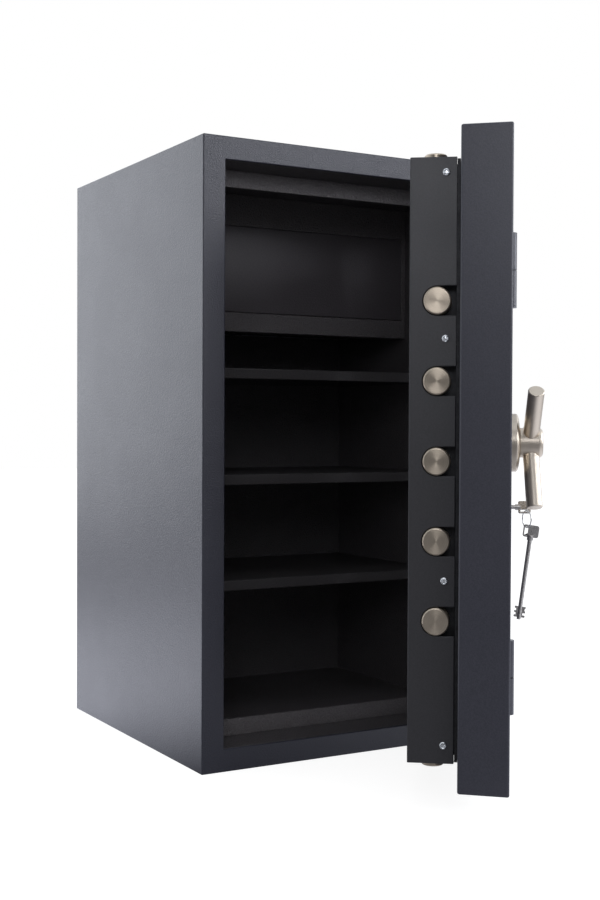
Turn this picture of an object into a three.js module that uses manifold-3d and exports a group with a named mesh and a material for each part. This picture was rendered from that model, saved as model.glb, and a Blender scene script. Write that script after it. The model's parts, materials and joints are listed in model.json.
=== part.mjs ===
// Free-standing drop safe: a steel cabinet with a swung-open plug door, handle-driven bolts,
// three shelves and a deposit unit that is loaded through a drawer in the back wall.
// Millimetres, +Z up. The origin is the centre of the base, the door side faces -Y.

import * as THREE from 'three';
import { mergeVertices } from 'three/addons/utils/BufferGeometryUtils.js';
import Module from 'manifold-3d';

const wasm = await Module();
wasm.setup();

// Cabinet
const bodyWidth = 545;
const bodyDepth = 500;
const bodyHeight = 900;
const sideWall = 35;
const hingeSideStrip = 10;
const capWall = 33;
const backWall = 35;
const skinThickness = 3;
const linerThickness = 2;
const lipFreeWidth = 22.5;
const lipHingeWidth = 5;
const lipEndWidth = 25;
const lipThickness = 7;
const lipDepth = 67;
const overrun = 10;
const seatGap = 0.3;

// Shelves
const shelfShares = [0.358, 0.626, 0.8955];
const shelfSetback = 150;
const shelfEndGap = 2;
const shelfLip = 16;
const shelfSheet = 2;

// Door slab and its place on the hinge axis
const doorOpenAngle = 52.8;
const doorGap = 3;
const slabThickness = 64;
const slabBevel = 7;
const panWall = 5;
const backPlateThickness = 4;
const barrelRadius = 11;
const barrelFaceGap = 0.5;

// Hinges
const hingeFootInset = 32;
const hingeHeadInset = 100;
const hingeLength = 119;
const hingeSeam = 1.4;
const hingePinRadius = 5;
const hingePinEnd = 3;
const doorLeafWidth = 30;
const frameLeafWidth = 9.5;
const leafThickness = 6;
const leafOverlap = 2;

// Boltwork plate and cover
const coverFreeInset = 37;
const coverHingeInset = 37;
const coverTopInset = 34;
const coverBottomInset = 30;
const coverDepth = 59;
const coverWall = 2.5;
const plateThickness = 4;
const plateInset = 2;
const coverSlotGap = 0.8;
const coverScrewShares = [-0.4354, -0.1842, 0.1842, 0.4354];
const coverScrewDepth = 13.5;
const screwHeadRadius = 5;
const screwHeadHeight = 3;
const screwShankRadius = 2.5;
const screwLength = 14;
const screwRecess = 1.8;
const screwRecessWidth = 1.4;
const lugWidth = 14;
const lugLength = 11;

// Locking bolts
const boltRadius = 17.5;
const boltDepthInPlate = 28.5;
const boltPitchShare = 0.122;
const boltCount = 5;
const boltLength = 80;
const boltProud = 3;
const boltChamfer = 1.6;
const boltThrow = 25;
const tenonRadius = 7;
const guideThickness = 8;
const guideInset = 22;
const guideMargin = 9;
const guideLip = 4;
const slideGap = 0.4;
const endBoltRadius = 14.5;
const endBoltSetback = 3.5;
const endBoltLength = 90;
const endBoltInset = 30;
const endBoltProud = 8;
const endGuideHeight = 18;
const endGuideSpace = 5.5;

// Carriage, crank and rods
const barThickness = 12;
const barWidth = 36;
const barMargin = 24;
const crankRadius = 29.6;
const crankTurn = 50;
const crankDiscRadius = 38;
const crankDiscThickness = 4;
const crankPinRadius = 5;
const armThickness = 4;
const armHeight = 26;
const rodWidth = 18;
const rodThickness = 3;
const layerGap = 0.6;
const slotPlay = 0.8;
const lockLugWidth = 8;
const lockLugDrop = 8;

// Handle
const handleFromFreeEdge = 212;
const handleRise = 20;
const roseRadius = 40;
const roseHeight = 17;
const roseRim = 12;
const hubRadius = 20.5;
const hubReach = 49;
const hubFillet = 6;
const spindleRadius = 8;
const spokeRadius = 11;
const spokeReach = 93;
const spokeSplay = 3;
const spokeHeight = 32;
const spokeAngles = [49, -71, 169];
const spokeTenonRadius = 6.4;
const spokeTenonDepth = 8;
const spokeChamfer = 1;

// Door lock and keys
const keyDrop = 89;
const escutcheonRadius = 17;
const escutcheonThickness = 3;
const keyholeWidth = 7.4;
const keyholeHeight = 19;
const keyBowWidth = 21.5;
const keyBowLength = 17;
const keyBowThickness = 2;
const keyBowCorner = 3;
const keyWindowWidth = 4.6;
const keyWindowLength = 11;
const keyWindowInset = 3;
const keyWindowEdge = 2;
const keyCollarRadius = 4.2;
const keyCollarLength = 4;
const keyShankRadius = 2.9;
const keyLength = 131;
const keyBitLength = 15;
const keyBitWidth = 15;
const keyBitThickness = 2.8;
const keyBowReach = 33;
const keyTilt = 45;
const lockCaseWidth = 84;
const lockCaseRise = 17;
const lockCaseDrop = 55;
const lockCaseDepth = 38;
const lockCaseWall = 3;
const lockBoltWidth = 14;
const lockBoltThickness = 9;
const lockBoltNose = 10;
const lockBoltDescent = 7;
const lockBoltSlack = 1.5;
const ringRadius = 11.6;
const ringWire = 0.8;
const ringPlay = 0.5;
const ringAlong = 5.3;
const ringTurn = 28;
const spareLean = 7.5;

// Deposit unit inside the cabinet
const housingLength = 220;
const housingReturn = 40;
const housingSheet = 2;
const housingDrop = 222;
const windowSideMargin = 8;
const windowLowDrop = 191;
const windowHighDrop = 50;
const panelGap = 0.8;
const panelReturn = 12;
const chuteTopDrop = 167;
const chuteLowDrop = 217;
const chuteReach = 66;
const chuteHook = 20;
const chuteSideInset = 20;
const baffleStartDepth = 19;
const baffleStartDrop = 165;
const baffleEndDepth = 74;
const baffleEndDrop = 199;
const baffleTeeth = 18;
const baffleToothDepth = 9;

// Deposit drawer in the back wall
const drawerClearWidth = 300;
const drawerClearHeight = 100;
const drawerDrop = 56;
const sleeveWall = 2;
const sleeveFlange = 18;
const sleeveFit = 0.2;
const faceThickness = 5;
const faceOverlap = 15;
const traySideSpace = 14;
const trayFrontSpace = 57;
const trayTopSpace = 4;
const trayDepth = 75;
const traySheet = 2;
const trayFlange = 10;
const curtainSpace = 2;
const trayFloorLength = 40;
const trapPivotInset = 44;
const trapPivotRise = 5;
const trapFrontSpace = 10;
const trapAngle = 25;
const trapPinRadius = 2.5;
const trapSideGap = 1.5;
const runnerLength = 155;
const runnerThickness = 3;
const runnerHeight = 20;
const runnerClearance = 1.5;
const runnerFoot = 25;
const pullSpan = 120;
const pullReach = 30;
const pullRadius = 5;
const pullBend = 12;
const pullRise = 29;
const camDrop = 24;
const camBodyRadius = 9;
const camFlangeRadius = 12;
const camFlangeThickness = 3;
const camPlugRadius = 6;
const camBodyLength = 24;
const camTongueLength = 28;
const camTongueWidth = 12;
const camTongueThickness = 3;
const keeperWidth = 18;
const keeperPlay = 2;

// Places worked out from the sizes above
const front = -bodyDepth / 2;
const rear = bodyDepth / 2;
const insideHalf = bodyWidth / 2 - sideWall;
const doorwayRight = bodyWidth / 2 - hingeSideStrip;
const rebateBack = front + lipDepth;
const insideBack = rear - backWall;
const floorTop = capWall;
const ceiling = bodyHeight - capWall;
const midHeight = bodyHeight / 2;
const housingNear = insideBack - housingLength;
const housingBottom = ceiling - housingDrop;
const shelfTops = shelfShares.map((share) => floorTop + share * (housingBottom - floorTop));
const windowLow = ceiling - windowLowDrop;
const windowHigh = ceiling - windowHighDrop;
const chuteTop = ceiling - chuteTopDrop;
const chuteLow = ceiling - chuteLowDrop;
const drawerClearHigh = ceiling - drawerDrop;
const drawerClearLow = drawerClearHigh - drawerClearHeight;
const trayWidth = drawerClearWidth - 2 * traySideSpace;
const trayHigh = drawerClearHigh - trayTopSpace;
const trayLow = trayHigh - trayDepth;
const curtainLow = drawerClearLow + curtainSpace;
const pullHeight = drawerClearLow + pullRise;
const camHeight = drawerClearHigh - camDrop;
const hingeStarts = [hingeFootInset, bodyHeight - hingeHeadInset - hingeLength];
const barrelOffset = barrelRadius + barrelFaceGap;
const slabOuter = barrelOffset;
const slabInner = slabOuter + slabThickness;
const slabRight = -doorGap;
const slabLeft = slabRight - (insideHalf + doorwayRight - 2 * doorGap);
const slabLow = floorTop + doorGap;
const slabHigh = ceiling - doorGap;
const coverScrewHeights = coverScrewShares.map((share) => midHeight + share * (slabHigh - slabLow));
const plateFace = slabInner + seatGap;
const plateBack = plateFace + plateThickness;
const coverLeft = slabLeft + coverFreeInset;
const coverRight = slabRight - coverHingeInset;
const coverLow = slabLow + coverBottomInset;
const coverHigh = slabHigh - coverTopInset;
const coverNear = plateBack + seatGap;
const coverFar = coverNear + coverDepth;
const boltY = slabInner + boltDepthInPlate;
const endBoltY = boltY + endBoltSetback;
const boltTip = coverLeft - boltProud;
const boltHeel = boltTip + boltLength;
const barLeft = boltHeel + seatGap;
const barRight = barLeft + barThickness;
const handleX = slabLeft + handleFromFreeEdge;
const handleHeight = midHeight + handleRise;
const keyHeight = handleHeight - keyDrop;

// Layers of the mechanism, counted away from the slab
const armNear = boltY + barWidth / 2 - armThickness;
const armFar = armNear + armThickness;
const discNear = armFar + layerGap;
const discFar = discNear + crankDiscThickness;
const rodNear = discFar + layerGap;
const rodFar = rodNear + rodThickness;

// Facets of round forms, by their size
const coarseSides = 16;
const middleSides = 24;
const fineSides = 28;
const wideSides = 36;

const finishes = {
  anthracite: { color: 0x2b2f3a, roughness: 0.55, metalness: 0.1 },
  innerPaint: { color: 0x1b1d24, roughness: 0.6, metalness: 0.1 },
  filling: { color: 0x8d8f8c, roughness: 0.95, metalness: 0 },
  satinSteel: { color: 0xb5aa9c, roughness: 0.3, metalness: 1 },
  zinc: { color: 0xb9bcc0, roughness: 0.35, metalness: 1 },
  plainSteel: { color: 0x8b8d91, roughness: 0.45, metalness: 1 },
  darkSteel: { color: 0x2a2a2c, roughness: 0.5, metalness: 0.8 },
};

const radians = THREE.MathUtils.degToRad;

// Solids: a closed geometry becomes a solid that can be joined and cut
function toSolid(geometry) {
  const bare = new THREE.BufferGeometry();
  bare.setAttribute('position', geometry.getAttribute('position').clone());
  if (geometry.index) bare.setIndex(geometry.index.clone());
  const merged = mergeVertices(bare, 1e-4);
  return new wasm.Manifold(new wasm.Mesh({
    numProp: 3,
    vertProperties: new Float32Array(merged.getAttribute('position').array),
    triVerts: new Uint32Array(merged.index.array),
  }));
}

function toGeometry(solid) {
  const result = solid.getMesh();
  const geometry = new THREE.BufferGeometry();
  geometry.setAttribute('position', new THREE.BufferAttribute(result.vertProperties, 3));
  geometry.setIndex(new THREE.BufferAttribute(result.triVerts, 1));
  geometry.computeVertexNormals();
  return geometry;
}

const join = (...solids) => solids.reduce((whole, next) => whole.add(next));
const cut = (solid, ...tools) => tools.reduce((whole, tool) => whole.subtract(tool), solid);

// A block between two corners
function block(x0, x1, y0, y1, z0, z1) {
  const geometry = new THREE.BoxGeometry(x1 - x0, y1 - y0, z1 - z0);
  geometry.translate((x0 + x1) / 2, (y0 + y1) / 2, (z0 + z1) / 2);
  return toSolid(geometry);
}

// A turned form: pairs of radius and distance along the axis, starting and ending on the axis,
// in either direction
function turned(profile, axis, x, y, z, sides = fineSides) {
  const rising = profile[0][1] < profile[profile.length - 1][1];
  const ordered = rising ? profile : [...profile].reverse();
  const points = ordered.map(([radius, along]) => new THREE.Vector2(radius, along));
  const geometry = new THREE.LatheGeometry(points, sides);
  const lengthwise = {
    x: () => geometry.rotateZ(-Math.PI / 2),
    y: () => geometry,
    z: () => geometry.rotateX(Math.PI / 2),
  };
  lengthwise[axis]();
  geometry.translate(x, y, z);
  return toSolid(geometry);
}

// A plain round bar between two distances along its axis
function bar(radius, start, end, axis, x, y, z, sides = middleSides) {
  return turned([[0, start], [radius, start], [radius, end], [0, end]], axis, x, y, z, sides);
}

function outline(points) {
  return new THREE.Shape(points.map(([across, up]) => new THREE.Vector2(across, up)));
}

function extrude(shape, depth) {
  return new THREE.ExtrudeGeometry(shape, { depth, bevelEnabled: false, curveSegments: 4 });
}

// A plate whose outline lies in X and Z, between two Y values
function plateXZ(shape, y0, y1) {
  const geometry = extrude(shape, y1 - y0);
  geometry.rotateX(Math.PI / 2);
  geometry.translate(0, y1, 0);
  return toSolid(geometry);
}

// A plate whose outline lies in Y and Z, between two X values
function plateYZ(shape, x0, x1) {
  const geometry = extrude(shape, x1 - x0);
  const toYZ = new THREE.Matrix4().makeBasis(
    new THREE.Vector3(0, 1, 0), new THREE.Vector3(0, 0, 1), new THREE.Vector3(1, 0, 0));
  geometry.applyMatrix4(toYZ);
  geometry.translate(x0, 0, 0);
  return toSolid(geometry);
}

// A plate whose outline lies in X and Y, between two Z values
function plateXY(shape, z0, z1) {
  const geometry = extrude(shape, z1 - z0);
  geometry.translate(0, 0, z0);
  return toSolid(geometry);
}

// A rectangle with round corners, as an outline
function roundedRectangle(x0, x1, y0, y1, corner) {
  const shape = new THREE.Shape();
  shape.moveTo(x0 + corner, y0);
  shape.lineTo(x1 - corner, y0);
  shape.absarc(x1 - corner, y0 + corner, corner, -Math.PI / 2, 0);
  shape.lineTo(x1, y1 - corner);
  shape.absarc(x1 - corner, y1 - corner, corner, 0, Math.PI / 2);
  shape.lineTo(x0 + corner, y1);
  shape.absarc(x0 + corner, y1 - corner, corner, Math.PI / 2, Math.PI);
  shape.lineTo(x0, y0 + corner);
  shape.absarc(x0 + corner, y0 + corner, corner, Math.PI, 1.5 * Math.PI);
  return shape;
}

function piece(name, solid, finish) {
  const geometry = solid.isBufferGeometry ? solid : toGeometry(solid);
  const mesh = new THREE.Mesh(geometry, new THREE.MeshStandardMaterial(finishes[finish]));
  mesh.name = name;
  return mesh;
}

// Cabinet: outer skin, filling, liner and the lip that the bolts engage
function drawerCutout(margin, y0, y1) {
  const half = drawerClearWidth / 2 + sleeveWall + margin;
  const low = drawerClearLow - sleeveWall - margin;
  const high = drawerClearHigh + sleeveWall + margin;
  return block(-half, half, y0, y1, low, high);
}

// The chamber, grown by a margin, with the rebate beside it that takes the door's hinge edge
function chamberSpace(margin, near) {
  const low = floorTop - margin;
  const high = ceiling + margin;
  const chamber = block(-insideHalf - margin, insideHalf + margin, near, insideBack + margin, low, high);
  const rebate = block(0, doorwayRight + margin, near, rebateBack + margin, low, high);
  return join(chamber, rebate);
}

function outerCasing() {
  const half = bodyWidth / 2;
  const shell = block(-half, half, front, rear, 0, bodyHeight);
  const hollow = block(-half + skinThickness, half - skinThickness, front + skinThickness,
    rear - skinThickness, skinThickness, bodyHeight - skinThickness);
  const doorway = block(-insideHalf, doorwayRight, front - overrun, front + 2 * skinThickness,
    floorTop, ceiling);
  const drawerHole = drawerCutout(sleeveFit, rear - 2 * skinThickness, rear + overrun);
  return cut(shell, hollow, doorway, drawerHole);
}

function barrierFilling() {
  const half = bodyWidth / 2 - skinThickness;
  const mass = block(-half, half, front + skinThickness, rear - skinThickness,
    skinThickness, bodyHeight - skinThickness);
  const drawerHole = drawerCutout(sleeveFit, insideBack, rear + overrun);
  const keeperTop = camHeight + camTongueLength + keeperPlay;
  const keeper = block(-keeperWidth, keeperWidth, tongueNear - keeperPlay, tongueFar + keeperPlay,
    drawerClearHigh, keeperTop);
  return cut(mass, chamberSpace(linerThickness, front - overrun), drawerHole, keeper);
}

function innerLiner() {
  const shell = chamberSpace(linerThickness, front + skinThickness);
  const drawerHole = drawerCutout(sleeveFit, insideBack - overrun, insideBack + overrun);
  return cut(shell, chamberSpace(0, front - overrun), drawerHole);
}

function lockingLip() {
  const far = rebateBack + lipThickness;
  const ring = block(-insideHalf, insideHalf, rebateBack, far, floorTop, ceiling);
  const clear = block(-insideHalf + lipFreeWidth, insideHalf - lipHingeWidth,
    rebateBack - overrun, far + overrun, floorTop + lipEndWidth, ceiling - lipEndWidth);
  return cut(ring, clear);
}

// Shelves: trays folded downwards on four sides and welded to the liner along both ends
function shelf(top) {
  const half = insideHalf - seatGap;
  const near = front + shelfSetback;
  const far = insideBack - shelfEndGap;
  const tray = block(-half, half, near, far, top - shelfLip, top);
  const under = block(-half + shelfSheet, half - shelfSheet, near + shelfSheet, far - shelfSheet,
    top - shelfLip - overrun, top - shelfSheet);
  return cut(tray, under);
}

// Deposit unit: housing front with its panel, chute and saw-toothed baffle
function depositHousing() {
  const near = housingNear;
  const far = near + housingReturn;
  const shell = block(-insideHalf, insideHalf, near, far, housingBottom, ceiling);
  const innerHalf = insideHalf - housingSheet;
  const hollow = block(-innerHalf, innerHalf, near + housingSheet, far + overrun,
    housingBottom + housingSheet, ceiling - housingSheet);
  const windowHalf = insideHalf - windowSideMargin;
  const window = block(-windowHalf, windowHalf, near - overrun, near + overrun, windowLow, windowHigh);
  return cut(shell, hollow, window);
}

function depositPanel() {
  const near = housingNear;
  const half = insideHalf - windowSideMargin - panelGap;
  const low = windowLow + panelGap;
  const high = windowHigh - panelGap;
  const pan = block(-half, half, near, near + panelReturn, low, high);
  const innerHalf = half - housingSheet;
  const hollow = block(-innerHalf, innerHalf, near + housingSheet, near + panelReturn + overrun,
    low + housingSheet, high - housingSheet);
  return cut(pan, hollow);
}

function depositChute() {
  const half = insideHalf - chuteSideInset;
  const lowY = insideBack - chuteReach;
  const profile = outline([
    [insideBack, chuteTop - chuteHook],
    [insideBack, chuteTop],
    [insideBack - housingSheet, chuteTop],
    [lowY, chuteLow + housingSheet],
    [lowY, chuteLow],
    [insideBack - housingSheet, chuteTop - chuteHook],
  ]);
  return plateYZ(profile, -half, half);
}

function fishingBaffle() {
  const half = insideHalf - housingSheet - seatGap;
  const startY = housingNear + baffleStartDepth;
  const startZ = ceiling - baffleStartDrop;
  const endY = housingNear + baffleEndDepth;
  const endZ = ceiling - baffleEndDrop;
  const length = Math.hypot(endY - startY, endZ - startZ);
  const pitch = 2 * half / baffleTeeth;
  const points = [[-half, 0], [half, 0]];
  for (let tooth = baffleTeeth; tooth > 0; tooth -= 1) {
    const right = -half + tooth * pitch;
    points.push([right, length - baffleToothDepth], [right - pitch / 2, length]);
  }
  points.push([-half, length - baffleToothDepth]);
  const geometry = new THREE.ExtrudeGeometry(outline(points), { depth: housingSheet, bevelEnabled: false });
  const slope = new THREE.Vector3(0, (endY - startY) / length, (endZ - startZ) / length);
  const across = new THREE.Vector3(1, 0, 0);
  geometry.applyMatrix4(new THREE.Matrix4().makeBasis(across, slope, across.clone().cross(slope)));
  geometry.translate(0, startY, startZ);
  return toSolid(geometry);
}

// Drawer places
const faceNear = rear + sleeveWall + seatGap;
const faceFar = faceNear + faceThickness;
const trayFar = faceNear - seatGap;
const trayNear = housingNear + trayFrontSpace;
const tongueFar = faceFar - camBodyLength - seatGap;
const tongueNear = tongueFar - camTongueThickness;
const trapPivotY = trayFar - trapPivotInset;
const trapLength = trapPivotY - trayNear - trapFrontSpace;
const trapPivotZ = trayLow + trapPivotRise;

function drawerSleeve() {
  const half = drawerClearWidth / 2;
  const tube = block(-half - sleeveWall, half + sleeveWall, insideBack, rear + sleeveWall,
    drawerClearLow - sleeveWall, drawerClearHigh + sleeveWall);
  const flange = block(-half - sleeveFlange, half + sleeveFlange, rear, rear + sleeveWall,
    drawerClearLow - sleeveFlange, drawerClearHigh + sleeveFlange);
  const clear = block(-half, half, insideBack - overrun, rear + overrun, drawerClearLow, drawerClearHigh);
  const keeper = block(-keeperWidth, keeperWidth, tongueNear - keeperPlay, tongueFar + keeperPlay,
    drawerClearHigh - overrun, drawerClearHigh + overrun);
  return cut(join(tube, flange), clear, keeper);
}

function drawerRunner(side) {
  const inner = trayWidth / 2 + runnerClearance;
  const outer = drawerClearWidth / 2;
  const top = trayHigh - traySheet - seatGap;
  const near = insideBack - runnerLength;
  const span = (a, b) => [Math.min(side * a, side * b), Math.max(side * a, side * b)];
  const leg = block(...span(inner, outer), near, insideBack - seatGap, top - runnerThickness, top);
  const web = block(...span(outer - runnerThickness, outer), near, insideBack - seatGap,
    top - runnerHeight, top);
  const foot = block(...span(outer - runnerThickness, outer + sleeveWall + runnerFoot),
    insideBack - runnerThickness, insideBack, top - runnerHeight, top);
  return join(leg, web, foot);
}

function drawerTray() {
  const half = trayWidth / 2;
  const innerHalf = half - traySheet;
  const body = block(-half, half, trayNear, trayFar, trayLow, trayHigh);
  const hollow = block(-innerHalf, innerHalf, trayNear + traySheet, trayFar - traySheet,
    trayLow + traySheet, trayHigh + overrun);
  const floorOpening = block(-innerHalf, innerHalf, trayNear + traySheet, trayFar - trayFloorLength,
    trayLow - overrun, trayHigh);
  const curtain = block(-half, half, trayNear, trayNear + traySheet, curtainLow, trayHigh);
  const flanges = [-1, 1].map((side) => {
    const ends = [side * innerHalf, side * (half + trayFlange)].sort((a, b) => a - b);
    return block(...ends, trayNear, trayFar, trayHigh - traySheet, trayHigh);
  });
  const lockHole = bar(camBodyRadius + seatGap, trayFar - overrun, trayFar + overrun, 'y', 0, 0, camHeight);
  const pivotHole = bar(trapPinRadius + seatGap, -half - overrun, half + overrun, 'x',
    0, trapPivotY, trapPivotZ, coarseSides);
  return cut(join(cut(body, hollow, floorOpening), curtain, ...flanges), lockHole, pivotHole);
}

// The trap floor lies level here; its group lets it hang open
function trapFloor() {
  const half = trayWidth / 2;
  const plateHalf = half - traySheet - trapSideGap;
  const plate = block(-plateHalf, plateHalf, -trapLength, 0, -traySheet / 2, traySheet / 2);
  const pin = bar(trapPinRadius, -half, half, 'x', 0, 0, 0, coarseSides);
  return join(plate, pin);
}

function drawerFace() {
  const half = drawerClearWidth / 2 + faceOverlap;
  const face = roundedRectangle(-half, half, drawerClearLow - faceOverlap, drawerClearHigh + faceOverlap,
    faceThickness);
  const lockHole = bar(camBodyRadius + seatGap, faceNear - overrun, faceFar + overrun, 'y', 0, 0, camHeight);
  return cut(plateXZ(face, faceNear, faceFar), lockHole);
}

function drawerPull() {
  const half = pullSpan / 2;
  const start = faceFar + seatGap;
  const out = faceFar + pullReach;
  const bend = pullBend;
  const path = new THREE.CurvePath();
  const at = (x, y) => new THREE.Vector3(x, y, pullHeight);
  path.add(new THREE.LineCurve3(at(-half, start), at(-half, out - bend)));
  path.add(new THREE.QuadraticBezierCurve3(at(-half, out - bend), at(-half, out), at(-half + bend, out)));
  path.add(new THREE.LineCurve3(at(-half + bend, out), at(half - bend, out)));
  path.add(new THREE.QuadraticBezierCurve3(at(half - bend, out), at(half, out), at(half, out - bend)));
  path.add(new THREE.LineCurve3(at(half, out - bend), at(half, start)));
  const section = new THREE.Shape().absarc(0, 0, pullRadius, 0, 2 * Math.PI);
  const settings = { steps: 24, extrudePath: path, curveSegments: 5, bevelEnabled: false };
  return toSolid(new THREE.ExtrudeGeometry(section, settings));
}

function camLockBody() {
  const inner = camPlugRadius + seatGap;
  const start = faceFar - camBodyLength;
  const seat = faceFar + seatGap;
  const end = seat + camFlangeThickness;
  const body = turned([[0, start], [camBodyRadius, start], [camBodyRadius, seat], [camFlangeRadius, seat],
    [camFlangeRadius, end], [0, end]], 'y', 0, 0, camHeight);
  return cut(body, bar(inner, start - overrun, end + overrun, 'y', 0, 0, camHeight));
}

function camLockPlug() {
  const end = faceFar + seatGap + camFlangeThickness;
  const plug = bar(camPlugRadius, tongueNear, end, 'y', 0, 0, camHeight);
  const tongue = block(0, camTongueLength, tongueNear, tongueFar,
    camHeight - camTongueWidth / 2, camHeight + camTongueWidth / 2);
  const keyway = block(-keyShankRadius, keyShankRadius, end - 2 * camFlangeThickness, end + overrun,
    camHeight - keyBowThickness / 4, camHeight + keyBowThickness / 4);
  return cut(join(plug, tongue), keyway);
}

// Hinges: lower knuckle on the cabinet, upper knuckle on the door, pin between them.
// Both knuckles are modelled about the hinge axis at x = 0, y = 0.
const knuckleLength = (hingeLength - hingeSeam - 2 * seatGap) / 2;

function knuckle(low, leafDirection, leafWidth) {
  const high = low + knuckleLength;
  const barrel = bar(barrelRadius, low, high, 'z', 0, 0, 0, fineSides);
  const ends = [leafDirection * leafOverlap, leafDirection * leafWidth].sort((a, b) => a - b);
  const leafFar = leafDirection > 0 ? barrelOffset : barrelOffset - seatGap;
  const leaf = block(...ends, barrelOffset - leafThickness, leafFar, low, high);
  const bore = bar(hingePinRadius + seatGap, low - overrun, high + overrun, 'z', 0, 0, 0, middleSides);
  return cut(join(barrel, leaf), bore);
}

function hingePin(start) {
  const seamLow = start + knuckleLength + seatGap;
  const seamHigh = seamLow + hingeSeam;
  const low = start + hingePinEnd;
  const high = start + hingeLength - hingePinEnd;
  const collar = barrelRadius - seatGap;
  return turned([[0, low], [hingePinRadius, low], [hingePinRadius, seamLow], [collar, seamLow],
    [collar, seamHigh], [hingePinRadius, seamHigh], [hingePinRadius, high], [0, high]],
    'z', 0, 0, 0, middleSides);
}

// Passages through the door for the spindle and the key
function doorPassages(y0, y1) {
  const spindleWay = bar(spindleRadius + 2 * slideGap, y0 - overrun, y1 + overrun, 'y',
    handleX, 0, handleHeight);
  const keyWay = block(handleX - keyholeWidth / 2, handleX + keyholeWidth / 2, y0 - overrun, y1 + overrun,
    keyHeight - keyholeHeight / 2, keyHeight + keyholeHeight / 2);
  return [spindleWay, keyWay];
}

function doorPan() {
  const plan = outline([[slabLeft, slabOuter], [slabRight, slabOuter], [slabRight, slabInner],
    [slabLeft + slabBevel, slabInner]]);
  const slab = plateXY(plan, slabLow, slabHigh);
  const hollow = block(slabLeft + slabBevel + panWall, slabRight - panWall, slabOuter + panWall,
    slabInner + overrun, slabLow + panWall, slabHigh - panWall);
  return cut(slab, hollow, ...doorPassages(slabOuter, slabInner));
}

function doorInset(y0, y1) {
  const inset = block(slabLeft + slabBevel + panWall + seatGap, slabRight - panWall - seatGap, y0, y1,
    slabLow + panWall + seatGap, slabHigh - panWall - seatGap);
  return cut(inset, ...doorPassages(y0, y1));
}

// Boltwork plate with its welded bolt guides and the lugs that take the cover screws
const boltPitch = boltPitchShare * (slabHigh - slabLow);
const boltMiddle = (coverLow + coverHigh) / 2;
const boltHeights = Array.from({ length: boltCount },
  (_, i) => boltMiddle + (i - (boltCount - 1) / 2) * boltPitch);
const guideNear = coverLeft + guideInset;
const endBoltX = coverLeft + endBoltInset;

function boltworkPlate() {
  const plate = block(coverLeft + plateInset, coverRight - plateInset, plateFace, plateBack,
    coverLow + plateInset, coverHigh - plateInset);
  const reach = boltRadius + guideMargin;
  const guide = block(guideNear, guideNear + guideThickness, plateBack - plateThickness,
    boltY + boltRadius + guideLip, boltHeights[0] - reach, boltHeights[boltCount - 1] + reach);
  const boltBores = boltHeights.map((height) => bar(boltRadius + slideGap, guideNear - overrun,
    guideNear + guideThickness + overrun, 'x', 0, boltY, height, fineSides));
  const endReach = endBoltRadius + guideMargin;
  const guideSpace = lugWidth / 2 + endGuideSpace;
  const endGuideLows = [coverScrewHeights[0] + guideSpace,
    coverScrewHeights[coverScrewHeights.length - 1] - guideSpace - endGuideHeight];
  const endGuides = endGuideLows.map((low) => {
    const guideBlock = block(endBoltX - endReach, endBoltX + endReach, plateBack - plateThickness,
      endBoltY + endBoltRadius + guideLip, low, low + endGuideHeight);
    return cut(guideBlock, bar(endBoltRadius + slideGap, low - overrun, low + endGuideHeight + overrun, 'z',
      endBoltX, endBoltY, 0, fineSides));
  });
  const lugNear = coverLeft + coverWall + seatGap;
  const lugs = coverScrewHeights.map((height) => {
    const lug = block(lugNear, lugNear + lugLength, plateBack - plateThickness,
      coverNear + coverScrewDepth + lugWidth / 2, height - lugWidth / 2, height + lugWidth / 2);
    return cut(lug, bar(screwShankRadius + seatGap, lugNear - overrun, lugNear + lugLength + overrun, 'x',
      0, coverNear + coverScrewDepth, height, coarseSides));
  });
  const whole = join(plate, cut(guide, ...boltBores), ...endGuides, ...lugs);
  return cut(whole, ...doorPassages(plateFace, plateBack));
}

function boltCover() {
  const shell = block(coverLeft, coverRight, coverNear, coverFar, coverLow, coverHigh);
  const hollow = block(coverLeft + coverWall, coverRight - coverWall, coverNear - overrun,
    coverFar - coverWall, coverLow + coverWall, coverHigh - coverWall);
  const slotRadius = boltRadius + coverSlotGap;
  const slots = boltHeights.map((height) => {
    const round = bar(slotRadius, coverLeft - overrun, coverLeft + overrun, 'x', 0, boltY, height, fineSides);
    const mouth = block(coverLeft - overrun, coverLeft + overrun, coverNear - overrun, boltY,
      height - slotRadius, height + slotRadius);
    return join(round, mouth);
  });
  const endSlotRadius = endBoltRadius + coverSlotGap;
  const endSlots = [coverLow, coverHigh].map((height) => {
    const round = bar(endSlotRadius, height - overrun, height + overrun, 'z',
      endBoltX, endBoltY, 0, fineSides);
    const mouth = block(endBoltX - endSlotRadius, endBoltX + endSlotRadius, coverNear - overrun, endBoltY,
      height - overrun, height + overrun);
    return join(round, mouth);
  });
  const screwHoles = coverScrewHeights.map((height) => bar(screwShankRadius + seatGap, coverLeft - overrun,
    coverLeft + overrun, 'x', 0, coverNear + coverScrewDepth, height, coarseSides));
  return cut(cut(shell, hollow), ...slots, ...endSlots, ...screwHoles);
}

function coverScrew(height) {
  const depth = coverNear + coverScrewDepth;
  const seat = coverLeft - seatGap;
  const top = seat - screwHeadHeight;
  const screw = turned([[0, top], [screwHeadRadius * 0.6, top], [screwHeadRadius, seat - screwHeadHeight / 3],
    [screwHeadRadius, seat], [screwShankRadius, seat], [screwShankRadius, seat + screwLength],
    [0, seat + screwLength]], 'x', 0, depth, height, coarseSides);
  const halfSlot = screwRecessWidth / 2;
  const reach = screwHeadRadius * 0.62;
  const slot = (acrossHalf, upHalf) => block(top - overrun, top + screwRecess,
    depth - acrossHalf, depth + acrossHalf, height - upHalf, height + upHalf);
  return cut(screw, slot(halfSlot, reach), slot(reach, halfSlot));
}

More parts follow.
